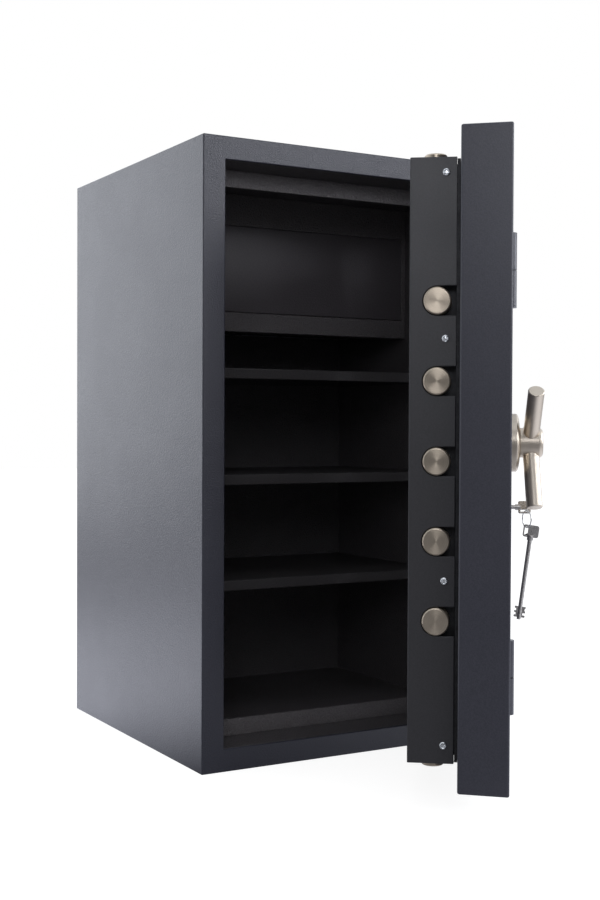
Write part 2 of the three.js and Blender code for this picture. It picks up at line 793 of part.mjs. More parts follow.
// Side bolts with a tenon through the carriage bar
function sideBolt(height) {
  const end = barRight + seatGap;
  return turned([[0, boltTip], [boltRadius - boltChamfer, boltTip], [boltRadius, boltTip + boltChamfer],
    [boltRadius, boltHeel], [tenonRadius, boltHeel], [tenonRadius, end], [0, end]],
    'x', 0, boltY, height, fineSides);
}

// Top and bottom bolts; direction is 1 upwards and -1 downwards
const endBoltTip = (direction) => (direction > 0 ? coverHigh + endBoltProud : coverLow - endBoltProud);

function endBolt(direction) {
  const tip = endBoltTip(direction);
  const step = -direction;
  const points = [[0, tip], [endBoltRadius - boltChamfer, tip], [endBoltRadius, tip + step * boltChamfer],
    [endBoltRadius, tip + step * endBoltLength], [0, tip + step * endBoltLength]];
  return turned(points, 'z', endBoltX, endBoltY, 0, fineSides);
}

// Crank pins: one below the spindle for the carriage, one on each side for the end bolts.
// At rest the crank stands half its turn before the middle.
const crankRest = radians(-crankTurn / 2);
const crankPins = [
  { x: -crankRadius * Math.sin(crankRest), z: -crankRadius * Math.cos(crankRest) },
  { x: -crankRadius * Math.cos(crankRest), z: crankRadius * Math.sin(crankRest) },
  { x: crankRadius * Math.cos(crankRest), z: -crankRadius * Math.sin(crankRest) },
];
const pinSway = crankRadius - crankRadius * Math.cos(crankRest);

// A slot for a crank pin, long across the piece's own motion
function pinSlot(pin, vertical, y0, y1) {
  const play = crankPinRadius + slotPlay;
  const x = handleX + pin.x;
  const z = handleHeight + pin.z;
  const swayX = vertical ? 0 : Math.sign(pin.x) * pinSway;
  const swayZ = vertical ? Math.sign(pin.z) * pinSway : 0;
  const startX = Math.min(x, x + swayX) - play;
  const endX = Math.max(x, x + swayX) + play;
  const startZ = Math.min(z, z + swayZ) - play;
  const endZ = Math.max(z, z + swayZ) + play;
  return block(startX, endX, y0 - overrun, y1 + overrun, startZ, endZ);
}

function carriage() {
  const low = boltHeights[0] - barMargin;
  const high = boltHeights[boltCount - 1] + barMargin;
  const upright = block(barLeft, barRight, boltY - barWidth / 2, boltY + barWidth / 2, low, high);
  const tenonHoles = boltHeights.map((height) => bar(tenonRadius + seatGap, barLeft - overrun,
    barRight + overrun, 'x', 0, boltY, height));
  const pin = crankPins[0];
  const armZ = handleHeight + pin.z - pinSway / 2;
  const armEnd = handleX + pin.x + armHeight;
  const arm = block(barRight - barThickness / 2, armEnd, armNear, armFar,
    armZ - armHeight / 2, armZ + armHeight / 2);
  const keyhole = pinSlot(pin, true, armNear, armFar);
  return cut(join(cut(upright, ...tenonHoles), arm), keyhole);
}

const armLowest = handleHeight + crankPins[0].z - pinSway / 2 - armHeight / 2;
const lockLugX = handleX + crankPins[0].x - armHeight;
const lugLowest = armLowest - lockLugDrop;

// Lug welded under the carriage's arm, which the raised lock bolt stands beside
function lockLug() {
  return block(lockLugX - lockLugWidth / 2, lockLugX + lockLugWidth / 2, armNear, armFar,
    lugLowest, armLowest - seatGap);
}

// Flat rods that carry the crank's turn to the end bolts, with a foot under each bolt
function boltRod(direction) {
  const pin = direction > 0 ? crankPins[1] : crankPins[2];
  const pinX = handleX + pin.x;
  const pinZ = handleHeight + pin.z;
  const heel = endBoltTip(direction) - direction * endBoltLength;
  const footZ = heel - direction * seatGap;
  const footEnd = footZ - direction * rodThickness;
  const half = rodWidth / 2;
  const jog = footEnd - direction * 2 * rodWidth;
  const pad = crankPinRadius + half;
  const strap = outline([
    [endBoltX - half, footEnd],
    [endBoltX + half, footEnd],
    [endBoltX + half, jog],
    [pinX + half, pinZ + direction * 2 * pad],
    [pinX + pad, pinZ + direction * pad / 2],
    [pinX + pad, pinZ - direction * pad / 2],
    [pinX - pad, pinZ - direction * pad / 2],
    [pinX - pad, pinZ + direction * pad],
    [endBoltX - half, jog - direction * rodWidth],
  ]);
  const lowFoot = Math.min(footZ, footEnd);
  const foot = block(endBoltX - half, endBoltX + half, endBoltY - half, rodFar,
    lowFoot, lowFoot + rodThickness);
  return cut(join(plateXZ(strap, rodNear, rodFar), foot), pinSlot(pin, false, rodNear, rodFar));
}

function crankDisc() {
  const disc = bar(crankDiscRadius, discNear, discFar, 'y', handleX, 0, handleHeight, fineSides);
  const [carriagePin, topPin, bottomPin] = crankPins;
  const pins = [
    bar(crankPinRadius, armNear, discFar, 'y', handleX + carriagePin.x, 0, handleHeight + carriagePin.z,
      coarseSides),
    ...[topPin, bottomPin].map((pin) => bar(crankPinRadius, discNear, rodFar, 'y', handleX + pin.x, 0,
      handleHeight + pin.z, coarseSides)),
  ];
  const bore = bar(spindleRadius + seatGap, discNear - overrun, discFar + overrun, 'y',
    handleX, 0, handleHeight);
  return cut(join(disc, ...pins), bore);
}

// Handle outside: rose, hub on its spindle and three splayed spokes
const roseSeat = slabOuter - seatGap;
const roseFace = roseSeat - roseHeight;
const hubStart = roseFace - seatGap;
const hubEnd = slabOuter - hubReach;

function handleRose() {
  const domeSteps = 6;
  const profile = [[0, roseSeat], [roseRadius, roseSeat], [roseRadius, roseSeat - roseRim]];
  for (let step = 1; step <= domeSteps; step += 1) {
    const turn = (step / domeSteps) * Math.PI / 2;
    profile.push([hubRadius + (roseRadius - hubRadius) * Math.cos(turn),
      roseSeat - roseRim - (roseHeight - roseRim) * Math.sin(turn)]);
  }
  profile.push([0, roseFace]);
  const rose = turned(profile, 'y', handleX, 0, handleHeight, wideSides);
  const bore = bar(spindleRadius + slideGap, roseFace - overrun, roseSeat + overrun, 'y',
    handleX, 0, handleHeight);
  return cut(rose, bore);
}

function spokePlace(solid, angle) {
  const lift = new THREE.Matrix4().makeRotationX(radians(spokeSplay));
  const spin = new THREE.Matrix4().makeRotationY(radians(angle - 90));
  const move = new THREE.Matrix4().makeTranslation(handleX, slabOuter - spokeHeight, handleHeight);
  const place = move.multiply(spin).multiply(lift);
  return solid.transform(place.elements);
}

function handleHub() {
  const filletSteps = 3;
  const profile = [[0, hubStart], [hubRadius, hubStart]];
  for (let step = 0; step <= filletSteps; step += 1) {
    const turn = (step / filletSteps) * Math.PI / 2;
    profile.push([hubRadius - hubFillet + hubFillet * Math.cos(turn),
      hubEnd + hubFillet - hubFillet * Math.sin(turn)]);
  }
  profile.push([0, hubEnd]);
  const hub = turned(profile, 'y', handleX, 0, handleHeight, fineSides);
  const socket = bar(spindleRadius + seatGap, hubEnd + hubFillet, hubStart + overrun, 'y',
    handleX, 0, handleHeight);
  const holes = spokeAngles.map((angle) => spokePlace(bar(spokeTenonRadius + seatGap,
    hubRadius - spokeTenonDepth - seatGap, hubRadius + overrun, 'z', 0, 0, 0, coarseSides), angle));
  return cut(hub, socket, ...holes);
}

function handleSpoke(angle) {
  const spoke = turned([[0, hubRadius - hubFillet], [spokeRadius, hubRadius - hubFillet],
    [spokeRadius, spokeReach - spokeChamfer], [spokeRadius - spokeChamfer, spokeReach], [0, spokeReach]],
    'z', 0, 0, 0, middleSides);
  const tenon = bar(spokeTenonRadius, hubRadius - spokeTenonDepth, hubRadius + hubFillet, 'z',
    0, 0, 0, coarseSides);
  const saddle = bar(hubRadius + seatGap, hubEnd - overrun, hubStart + overrun, 'y',
    handleX, 0, handleHeight, fineSides);
  return join(cut(spokePlace(spoke, angle), saddle), spokePlace(tenon, angle));
}

function handleSpindle() {
  return bar(spindleRadius, hubEnd + hubFillet + seatGap, discFar, 'y', handleX, 0, handleHeight);
}

// Door lock: case on the boltwork plate, lock bolt that stands in the way of the carriage's lug
const caseLow = keyHeight - lockCaseDrop;
const caseHigh = keyHeight + lockCaseRise;
const caseNear = plateBack + seatGap;
const caseFar = caseNear + lockCaseDepth;
const lockBoltFar = caseFar - lockCaseWall - 2 * seatGap;
const lockBoltNear = lockBoltFar - lockBoltThickness;
const lockBoltRestTop = lugLowest - lockBoltSlack;
const lockBoltX = lockLugX - boltThrow / 2;

function lockCase() {
  const half = lockCaseWidth / 2;
  const shell = block(handleX - half, handleX + half, caseNear, caseFar, caseLow, caseHigh);
  const hollow = block(handleX - half + lockCaseWall, handleX + half - lockCaseWall, caseNear + lockCaseWall,
    caseFar - lockCaseWall, caseLow + lockCaseWall, caseHigh - lockCaseWall);
  const boltWay = block(lockBoltX - lockBoltWidth / 2 - seatGap, lockBoltX + lockBoltWidth / 2 + seatGap,
    lockBoltNear - seatGap, lockBoltFar + seatGap, caseHigh - 2 * lockCaseWall, caseHigh + overrun);
  const keyWay = block(handleX - keyholeWidth / 2, handleX + keyholeWidth / 2, caseNear - overrun,
    caseNear + 2 * lockCaseWall, keyHeight - keyholeHeight / 2, keyHeight + keyholeHeight / 2);
  return cut(shell, hollow, boltWay, keyWay);
}

function lockBolt() {
  const half = lockBoltWidth / 2;
  const heel = caseLow + lockCaseWall + lockBoltSlack + lockBoltDescent;
  const shank = block(lockBoltX - half, lockBoltX + half, lockBoltNear, lockBoltFar, heel, lockBoltRestTop);
  const nose = block(lockBoltX - half, lockBoltX + half, lockBoltNear, armFar,
    lockBoltRestTop - lockBoltNose, lockBoltRestTop);
  return join(shank, nose);
}

function keyEscutcheon() {
  const seat = slabOuter - seatGap;
  const face = seat - escutcheonThickness;
  const disc = turned([[0, seat], [escutcheonRadius, seat], [escutcheonRadius, face + escutcheonThickness / 2],
    [escutcheonRadius - escutcheonThickness / 2, face], [0, face]], 'y', handleX, 0, keyHeight, middleSides);
  const hole = block(handleX - keyholeWidth / 2, handleX + keyholeWidth / 2, face - overrun, seat + overrun,
    keyHeight - keyholeHeight / 2, keyHeight + keyholeHeight / 2);
  return cut(disc, hole);
}

// A double-bitted key: bow towards -Y with its end at y = 0, bow flat in Y and Z
function doubleBitKey() {
  const halfWidth = keyBowWidth / 2;
  const bow = roundedRectangle(0, keyBowLength, -halfWidth, halfWidth, keyBowCorner);
  const bowPlate = plateYZ(bow, -keyBowThickness / 2, keyBowThickness / 2);
  const windowFar = halfWidth - keyWindowEdge;
  const window = block(-overrun, overrun, keyWindowInset, keyWindowInset + keyWindowLength,
    windowFar - keyWindowWidth, windowFar);
  const shank = turned([[0, keyBowLength - keyBowCorner], [keyCollarRadius, keyBowLength - keyBowCorner],
    [keyCollarRadius, keyBowLength + keyCollarLength], [keyShankRadius, keyBowLength + keyCollarLength],
    [keyShankRadius, keyLength], [0, keyLength]], 'y', 0, 0, 0, coarseSides);
  const bitEnd = keyLength - keyShankRadius;
  const bit = block(-keyBitThickness / 2, keyBitThickness / 2, bitEnd - keyBitLength, bitEnd,
    -keyBitWidth / 2, keyBitWidth / 2);
  const notchDepth = (keyBitWidth / 2 - keyShankRadius) / 2;
  const notchWidth = keyBitLength / 5;
  const notches = [1, 3].flatMap((place) => [-1, 1].map((side) => {
    const edge = side * keyBitWidth / 2;
    const inner = side * (keyBitWidth / 2 - notchDepth * (side > 0 ? 1 : place / 2));
    const start = bitEnd - keyBitLength + place * notchWidth;
    return block(-overrun, overrun, start, start + notchWidth, Math.min(edge, inner), Math.max(edge, inner));
  }));
  return join(cut(bowPlate, window), shank, cut(bit, ...notches));
}

function keyRing() {
  const geometry = new THREE.TorusGeometry(ringRadius, ringWire, coarseSides / 2, fineSides);
  return toSolid(geometry);
}

// Assembly
const safe = new THREE.Group();

safe.add(piece('outer_casing', outerCasing(), 'anthracite'));
safe.add(piece('barrier_filling', barrierFilling(), 'filling'));
safe.add(piece('inner_liner', innerLiner(), 'innerPaint'));
safe.add(piece('locking_lip', lockingLip(), 'innerPaint'));

shelfTops.forEach((top, i) => {
  safe.add(piece(`shelf_${i + 1}`, shelf(top), 'innerPaint'));
});

safe.add(piece('deposit_housing', depositHousing(), 'innerPaint'));
safe.add(piece('deposit_panel', depositPanel(), 'innerPaint'));
safe.add(piece('deposit_chute', depositChute(), 'zinc'));
safe.add(piece('fishing_baffle', fishingBaffle(), 'zinc'));
safe.add(piece('drawer_sleeve', drawerSleeve(), 'anthracite'));
safe.add(piece('drawer_runner_left', drawerRunner(-1), 'zinc'));
safe.add(piece('drawer_runner_right', drawerRunner(1), 'zinc'));

const drawer = new THREE.Group();
drawer.add(piece('drawer_tray', drawerTray(), 'zinc'));
drawer.add(piece('drawer_face', drawerFace(), 'anthracite'));
drawer.add(piece('drawer_pull', drawerPull(), 'satinSteel'));
drawer.add(piece('drawer_lock_body', camLockBody(), 'zinc'));
drawer.add(piece('drawer_lock_plug', camLockPlug(), 'zinc'));
const trap = new THREE.Group();
trap.position.set(0, trapPivotY, trapPivotZ);
trap.rotation.x = radians(trapAngle);
trap.add(piece('trap_floor', trapFloor(), 'zinc'));
drawer.add(trap);
safe.add(drawer);

const hingeX = doorwayRight;
const hingeY = front - barrelOffset;
const frameSide = new THREE.Group();
frameSide.position.set(hingeX, hingeY, 0);
const hingeNames = ['lower', 'upper'];
hingeStarts.forEach((start, i) => {
  const frameKnuckle = knuckle(start, 1, frameLeafWidth);
  frameSide.add(piece(`${hingeNames[i]}_hinge_frame_knuckle`, frameKnuckle, 'anthracite'));
  frameSide.add(piece(`${hingeNames[i]}_hinge_pin`, hingePin(start), 'darkSteel'));
});
safe.add(frameSide);

const door = new THREE.Group();
door.position.set(hingeX, hingeY, 0);
door.rotation.z = radians(doorOpenAngle);
hingeStarts.forEach((start, i) => {
  const low = start + hingeLength - knuckleLength;
  door.add(piece(`${hingeNames[i]}_hinge_door_knuckle`, knuckle(low, -1, doorLeafWidth), 'anthracite'));
});
door.add(piece('door_pan', doorPan(), 'anthracite'));
door.add(piece('door_filling', doorInset(slabOuter + panWall + seatGap,
  slabInner - backPlateThickness - seatGap), 'filling'));
door.add(piece('door_back_plate', doorInset(slabInner - backPlateThickness, slabInner), 'anthracite'));
door.add(piece('boltwork_plate', boltworkPlate(), 'darkSteel'));
door.add(piece('bolt_cover', boltCover(), 'anthracite'));
coverScrewHeights.forEach((height, i) => {
  door.add(piece(`cover_screw_${i + 1}`, coverScrew(height), 'zinc'));
});

boltHeights.forEach((height, i) => {
  door.add(piece(`side_bolt_${i + 1}`, sideBolt(height), 'satinSteel'));
});
door.add(piece('bolt_carriage', carriage(), 'plainSteel'));
door.add(piece('lock_lug', lockLug(), 'plainSteel'));
door.add(piece('top_bolt', endBolt(1), 'satinSteel'));
door.add(piece('top_bolt_rod', boltRod(1), 'plainSteel'));
door.add(piece('bottom_bolt', endBolt(-1), 'satinSteel'));
door.add(piece('bottom_bolt_rod', boltRod(-1), 'plainSteel'));
door.add(piece('crank_disc', crankDisc(), 'plainSteel'));
door.add(piece('handle_spindle', handleSpindle(), 'plainSteel'));
door.add(piece('handle_rose', handleRose(), 'satinSteel'));
door.add(piece('handle_hub', handleHub(), 'satinSteel'));
spokeAngles.forEach((angle, i) => {
  door.add(piece(`handle_spoke_${i + 1}`, handleSpoke(angle), 'satinSteel'));
});

door.add(piece('key_escutcheon', keyEscutcheon(), 'zinc'));
door.add(piece('lock_case', lockCase(), 'plainSteel'));
door.add(piece('lock_bolt', lockBolt(), 'plainSteel'));

const bowEnd = slabOuter - keyBowReach;
const keyPlace = new THREE.Group();
keyPlace.position.set(handleX, bowEnd, keyHeight);
const keyTurn = new THREE.Group();
keyTurn.rotation.y = radians(keyTilt - 180);
keyTurn.add(piece('door_key', doubleBitKey(), 'zinc'));
keyPlace.add(keyTurn);

// The ring hangs on the narrow strip beside the inserted key's window. Its plane is upright.
const strip = new THREE.Vector3(0, ringAlong, keyBowWidth / 2 - keyWindowEdge / 2);
const stripRise = (keyWindowEdge + keyBowThickness) / 2 / Math.SQRT2;
const ringHang = new THREE.Group();
ringHang.position.copy(strip).applyEuler(keyTurn.rotation);
ringHang.position.z += stripRise + ringPlay + ringWire;
ringHang.rotation.z = radians(ringTurn);
const ringCentre = new THREE.Group();
ringCentre.position.z = -ringRadius;
ringCentre.rotation.x = Math.PI / 2;
ringCentre.add(piece('key_ring', keyRing(), 'zinc'));
ringHang.add(ringCentre);
keyPlace.add(ringHang);

// The spare key hangs by the end of its window from the lowest point of the ring
const spareHang = new THREE.Group();
spareHang.position.copy(ringHang.position);
spareHang.position.z -= 2 * ringRadius;
spareHang.rotation.x = radians(spareLean - 90);
const spareShift = new THREE.Group();
const windowMiddle = keyBowWidth / 2 - keyWindowEdge - keyWindowWidth / 2;
spareShift.position.set(0, -keyWindowInset - ringWire - ringPlay, -windowMiddle);
spareShift.add(piece('spare_key', doubleBitKey(), 'zinc'));
spareHang.add(spareShift);
keyPlace.add(spareHang);
door.add(keyPlace);
safe.add(door);

export default safe;
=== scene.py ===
# The drop safe's finishes, fine surfaces, light and camera.
# Lengths are metres in the frame's own axes: the door side faces -Y and +Z is up.

import json
import math

import bmesh
import bpy
import numpy as np
from mathutils import Matrix, Vector


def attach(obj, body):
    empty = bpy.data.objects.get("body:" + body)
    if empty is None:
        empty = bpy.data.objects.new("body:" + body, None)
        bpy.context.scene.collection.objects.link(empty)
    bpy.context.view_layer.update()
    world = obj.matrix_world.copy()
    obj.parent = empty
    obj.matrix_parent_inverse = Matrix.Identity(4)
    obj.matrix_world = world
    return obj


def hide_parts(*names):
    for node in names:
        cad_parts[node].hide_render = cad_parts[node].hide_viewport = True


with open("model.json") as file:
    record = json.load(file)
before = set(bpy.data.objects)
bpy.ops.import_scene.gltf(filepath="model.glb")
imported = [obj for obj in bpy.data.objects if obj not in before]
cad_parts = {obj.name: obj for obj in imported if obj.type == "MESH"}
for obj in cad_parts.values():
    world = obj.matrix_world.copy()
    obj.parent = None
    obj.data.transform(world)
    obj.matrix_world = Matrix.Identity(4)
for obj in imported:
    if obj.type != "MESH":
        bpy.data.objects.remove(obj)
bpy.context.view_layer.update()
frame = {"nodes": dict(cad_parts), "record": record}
print("frame loaded:", len(frame["nodes"]), "nodes")

record = frame["record"]
nodeBody = {node: body for body, nodes in record["behaviour"]["bodies"].items() for node in nodes}
nodeSlot = {part["node"]: part["material_slot"] for part in record["subparts"]}
joints = {joint["name"]: joint for joint in record["behaviour"]["joints"]}

# The open door's own axes: x runs along the door to the hinge, y into the safe
doorAngle = -math.radians(joints["door_hinge"]["range_deg"][0])
hingeX, hingeY = joints["door_hinge"]["pos_m"][:2]
doorPlace = Matrix.Translation((hingeX, hingeY, 0)) @ Matrix.Rotation(doorAngle, 4, "Z")
safePlace = Matrix.Identity(4)


def nodePoints(node, place=safePlace):
    # A node's points in the axes of a place
    mesh = frame["nodes"][node].data
    points = np.empty(len(mesh.vertices) * 3)
    mesh.vertices.foreach_get("co", points)
    back = np.array(place.inverted())
    return points.reshape(-1, 3) @ back[:3, :3].T + back[:3, 3]


def boxIn(place, node):
    # The lowest and highest corner of a node in the axes of a place
    points = nodePoints(node, place)
    return points.min(0), points.max(0)


# Shader node helpers


def addNode(tree, kind, x=0, y=0, **values):
    node = tree.nodes.new(kind)
    node.location = (x, y)
    for key, value in values.items():
        setattr(node, key, value)
    return node


def setInputs(node, **values):
    for key, value in values.items():
        node.inputs[key.replace("_", " ")].default_value = value
    return node


def newGroup(name, inputs, outputs):
    # inputs: name -> default number; outputs: name -> socket type
    group = bpy.data.node_groups.new(name, "ShaderNodeTree")
    for socketName, value in inputs.items():
        socket = group.interface.new_socket(socketName, in_out="INPUT",
                                            socket_type="NodeSocketFloat")
        socket.default_value = value
    for socketName, socketType in outputs.items():
        group.interface.new_socket(socketName, in_out="OUTPUT", socket_type=socketType)
    enter = addNode(group, "NodeGroupInput", -900, 0)
    leave = addNode(group, "NodeGroupOutput", 700, 0)
    return group, enter, leave


def noiseNode(tree, vector, scale, detail, roughness, x, y):
    noise = addNode(tree, "ShaderNodeTexNoise", x, y)
    setInputs(noise, Detail=detail, Roughness=roughness)
    tree.links.new(vector, noise.inputs["Vector"])
    setOrLink(tree, noise.inputs["Scale"], scale)
    return noise.outputs["Fac"]


def setOrLink(tree, socket, value):
    # A number or colour is set on the socket, and an output is linked to it
    if isinstance(value, (int, float)):
        socket.default_value = value
    elif isinstance(value, tuple):
        socket.default_value = (*value, 1)
    else:
        tree.links.new(value, socket)


def mathNode(tree, operation, first, second, x, y):
    node = addNode(tree, "ShaderNodeMath", x, y, operation=operation)
    for socket, value in zip(node.inputs, (first, second)):
        setOrLink(tree, socket, value)
    return node.outputs[0]


def scaled(tree, value, factor, x, y):
    return mathNode(tree, "MULTIPLY", value, factor, x, y)


def rangeNode(tree, value, fromLow, fromHigh, toLow, toHigh, x, y):
    node = addNode(tree, "ShaderNodeMapRange", x, y)
    setInputs(node, From_Min=fromLow, From_Max=fromHigh, To_Min=toLow, To_Max=toHigh)
    tree.links.new(value, node.inputs["Value"])
    return node.outputs["Result"]


noiseSpan = (0.3, 0.7)  # most of a noise's values lie between these
coatMix = {"peakSpan": (0.35, 0.7), "lumpSpan": (0.35, 0.65), "peakHeight": 0.35,
           "peakTone": 0.25, "lumpTone": 0.35, "cloudTone": 0.4, "cloudScale": 5.0}
strokeMix = {"fineScale": 1.0, "broadScale": 0.17, "fine": 0.6, "broad": 0.4}
dustMix = {"speckScale": 420.0, "speckSpan": (0.5, 0.75), "upwardSpan": (0.6, 1.0)}


def coatGroup():
    # Baked coat: small rounded grains over coarser lumps, with a faint change of tone
    group, enter, leave = newGroup(
        "baked coat grain", {"Grain Scale": 900.0, "Wave Scale": 60.0},
        {"Height": "NodeSocketFloat", "Tone": "NodeSocketFloat"})
    place = addNode(group, "ShaderNodeTexCoord", -900, 300).outputs["Object"]
    grain = noiseNode(group, place, enter.outputs["Grain Scale"], detail=2.0, roughness=0.55,
                      x=-600, y=300)
    wave = noiseNode(group, place, enter.outputs["Wave Scale"], detail=1.0, roughness=0.5,
                     x=-600, y=0)
    cloud = noiseNode(group, place, coatMix["cloudScale"], detail=3.0, roughness=0.6,
                      x=-600, y=-300)
    peaks = rangeNode(group, grain, *coatMix["peakSpan"], 0.0, 1.0, -300, 300)
    lumps = rangeNode(group, wave, *coatMix["lumpSpan"], 0.0, 1.0, -300, 0)
    height = mathNode(group, "ADD", scaled(group, peaks, coatMix["peakHeight"], -100, 300), lumps,
                      100, 300)
    grains = mathNode(group, "ADD", scaled(group, peaks, coatMix["peakTone"], -100, 150),
                      scaled(group, lumps, coatMix["lumpTone"], -100, -100), 100, 100)
    tone = mathNode(group, "ADD", grains, scaled(group, cloud, coatMix["cloudTone"], -100, -300),
                    300, 0)
    group.links.new(height, leave.inputs["Height"])
    group.links.new(tone, leave.inputs["Tone"])
    return group


def strokeGroup():
    # Turning or polishing marks on the piece's own map: long along its first axis, fine along
    # its second
    group, enter, leave = newGroup(
        "tool marks", {"Along Scale": 3.0, "Across Scale": 9000.0},
        {"Height": "NodeSocketFloat", "Streaks": "NodeSocketFloat"})
    place = addNode(group, "ShaderNodeUVMap", -900, 300, uv_map="surface").outputs["UV"]
    parts = addNode(group, "ShaderNodeSeparateXYZ", -700, 300)
    group.links.new(place, parts.inputs[0])
    stretched = addNode(group, "ShaderNodeCombineXYZ", -300, 300)
    for axis, scaleName, y in (("X", "Along Scale", 400), ("Y", "Across Scale", 200)):
        group.links.new(scaled(group, parts.outputs[axis], enter.outputs[scaleName], -500, y),
                        stretched.inputs[axis])
    fine = noiseNode(group, stretched.outputs[0], strokeMix["fineScale"], detail=3.0,
                     roughness=0.6, x=-100, y=300)
    broad = noiseNode(group, stretched.outputs[0], strokeMix["broadScale"], detail=2.0,
                      roughness=0.5, x=-100, y=0)
    streaks = mathNode(group, "ADD", scaled(group, fine, strokeMix["fine"], 150, 300),
                       scaled(group, broad, strokeMix["broad"], 150, 0), 350, 150)
    group.links.new(streaks, leave.inputs["Height"])
    group.links.new(streaks, leave.inputs["Streaks"])
    return group


def handlingGroup():
    # Faint smears and dust: cloudy patches, with dust only on faces that look up
    group, enter, leave = newGroup(
        "handling marks", {"Smear Scale": 14.0},
        {"Smear": "NodeSocketFloat", "Dust": "NodeSocketFloat"})
    place = addNode(group, "ShaderNodeTexCoord", -900, 300).outputs["Object"]
    smear = noiseNode(group, place, enter.outputs["Smear Scale"], detail=4.0, roughness=0.62,
                      x=-600, y=300)
    specks = noiseNode(group, place, dustMix["speckScale"], detail=3.0, roughness=0.7,
                       x=-600, y=0)
    facing = addNode(group, "ShaderNodeSeparateXYZ", -600, -300)
    geometry = addNode(group, "ShaderNodeNewGeometry", -900, -300)
    group.links.new(geometry.outputs["Normal"], facing.inputs[0])
    upward = rangeNode(group, facing.outputs["Z"], *dustMix["upwardSpan"], 0.0, 1.0, -300, -300)
    settled = rangeNode(group, specks, *dustMix["speckSpan"], 0.0, 1.0, -300, 0)
    dust = scaled(group, settled, upward, 0, 0)
    group.links.new(smear, leave.inputs["Smear"])
    group.links.new(dust, leave.inputs["Dust"])
    return group


groups = {"coat": coatGroup(), "strokes": strokeGroup(), "handling": handlingGroup()}


def newMaterial(name, **principled):
    material = bpy.data.materials.new(name)
    material.use_nodes = True
    tree = material.node_tree
    shader = tree.nodes["Principled BSDF"]
    shader.location = (600, 0)
    setInputs(shader, **principled)
    return material, tree, shader


def placeGroup(tree, key, x, y, **values):
    node = addNode(tree, "ShaderNodeGroup", x, y, node_tree=groups[key])
    return setInputs(node, **values)


def blendNode(tree, dataType, socketType, factor, first, second, x, y):
    mix = addNode(tree, "ShaderNodeMix", x, y, data_type=dataType)
    tree.links.new(factor, mix.inputs[0])
    ends = [socket for socket in mix.inputs[1:] if socket.type == socketType]
    for socket, value in zip(ends, (first, second)):
        setOrLink(tree, socket, value)
    return next(socket for socket in mix.outputs if socket.type == socketType)


def blendColours(tree, *settings):
    return blendNode(tree, "RGBA", "RGBA", *settings)


def blendNumbers(tree, *settings):
    return blendNode(tree, "FLOAT", "VALUE", *settings)


def bumpFrom(tree, shader, height, strength, distance, x, y):
    bump = addNode(tree, "ShaderNodeBump", x, y)
    setInputs(bump, Strength=strength, Distance=distance)
    tree.links.new(height, bump.inputs["Height"])
    tree.links.new(bump.outputs["Normal"], shader.inputs["Normal"])


def coatedFinish(name, look):
    material, tree, shader = newMaterial(name, Metallic=0.0, IOR=1.6)
    grain = placeGroup(tree, "coat", -600, 200, Grain_Scale=look["grainScale"],
                       Wave_Scale=look["waveScale"])
    marks = placeGroup(tree, "handling", -600, -200, Smear_Scale=look["smearScale"])
    paint = blendColours(tree, grain.outputs["Tone"], look["dark"], look["light"], -200, 200)
    dust = scaled(tree, marks.outputs["Dust"], look["dust"], -200, -50)
    dusted = blendColours(tree, dust, paint, look["dustColour"], 200, 200)
    rough = rangeNode(tree, marks.outputs["Smear"], *noiseSpan, *look["roughness"], 0, -200)
    tree.links.new(dusted, shader.inputs["Base Color"])
    tree.links.new(rough, shader.inputs["Roughness"])
    bumpFrom(tree, shader, grain.outputs["Height"], look["bump"], look["depth"], 200, -300)
    return material


quarterTurn = 0.25  # of a full turn
sheetMix = {"scratches": 0.4, "cloud": 0.6}


def workedMetal(name, look):
    # Bare metal on turned or swept pieces, with marks and gloss that follow the piece's own map
    material, tree, shader = newMaterial(name, Metallic=1.0, Anisotropic=look["stretch"],
                                         Anisotropic_Rotation=quarterTurn)
    along = addNode(tree, "ShaderNodeTangent", 300, -500, direction_type="UV_MAP", uv_map="surface")
    tree.links.new(along.outputs["Tangent"], shader.inputs["Tangent"])
    strokes = placeGroup(tree, "strokes", -600, 200, Along_Scale=look["alongScale"],
                         Across_Scale=look["acrossScale"])
    marks = placeGroup(tree, "handling", -600, -200, Smear_Scale=look["smearScale"])
    metal = blendColours(tree, strokes.outputs["Streaks"], look["dark"], look["light"], -100, 200)
    tree.links.new(metal, shader.inputs["Base Color"])
    spread = mathNode(tree, "ADD", scaled(tree, marks.outputs["Smear"], 0.5, -300, -200),
                      scaled(tree, strokes.outputs["Streaks"], 0.5, -300, -50), -100, -100)
    rough = rangeNode(tree, spread, *noiseSpan, *look["roughness"], 100, -100)
    tree.links.new(rough, shader.inputs["Roughness"])
    bumpFrom(tree, shader, strokes.outputs["Height"], look["bump"], look["depth"], 200, -300)
    return material


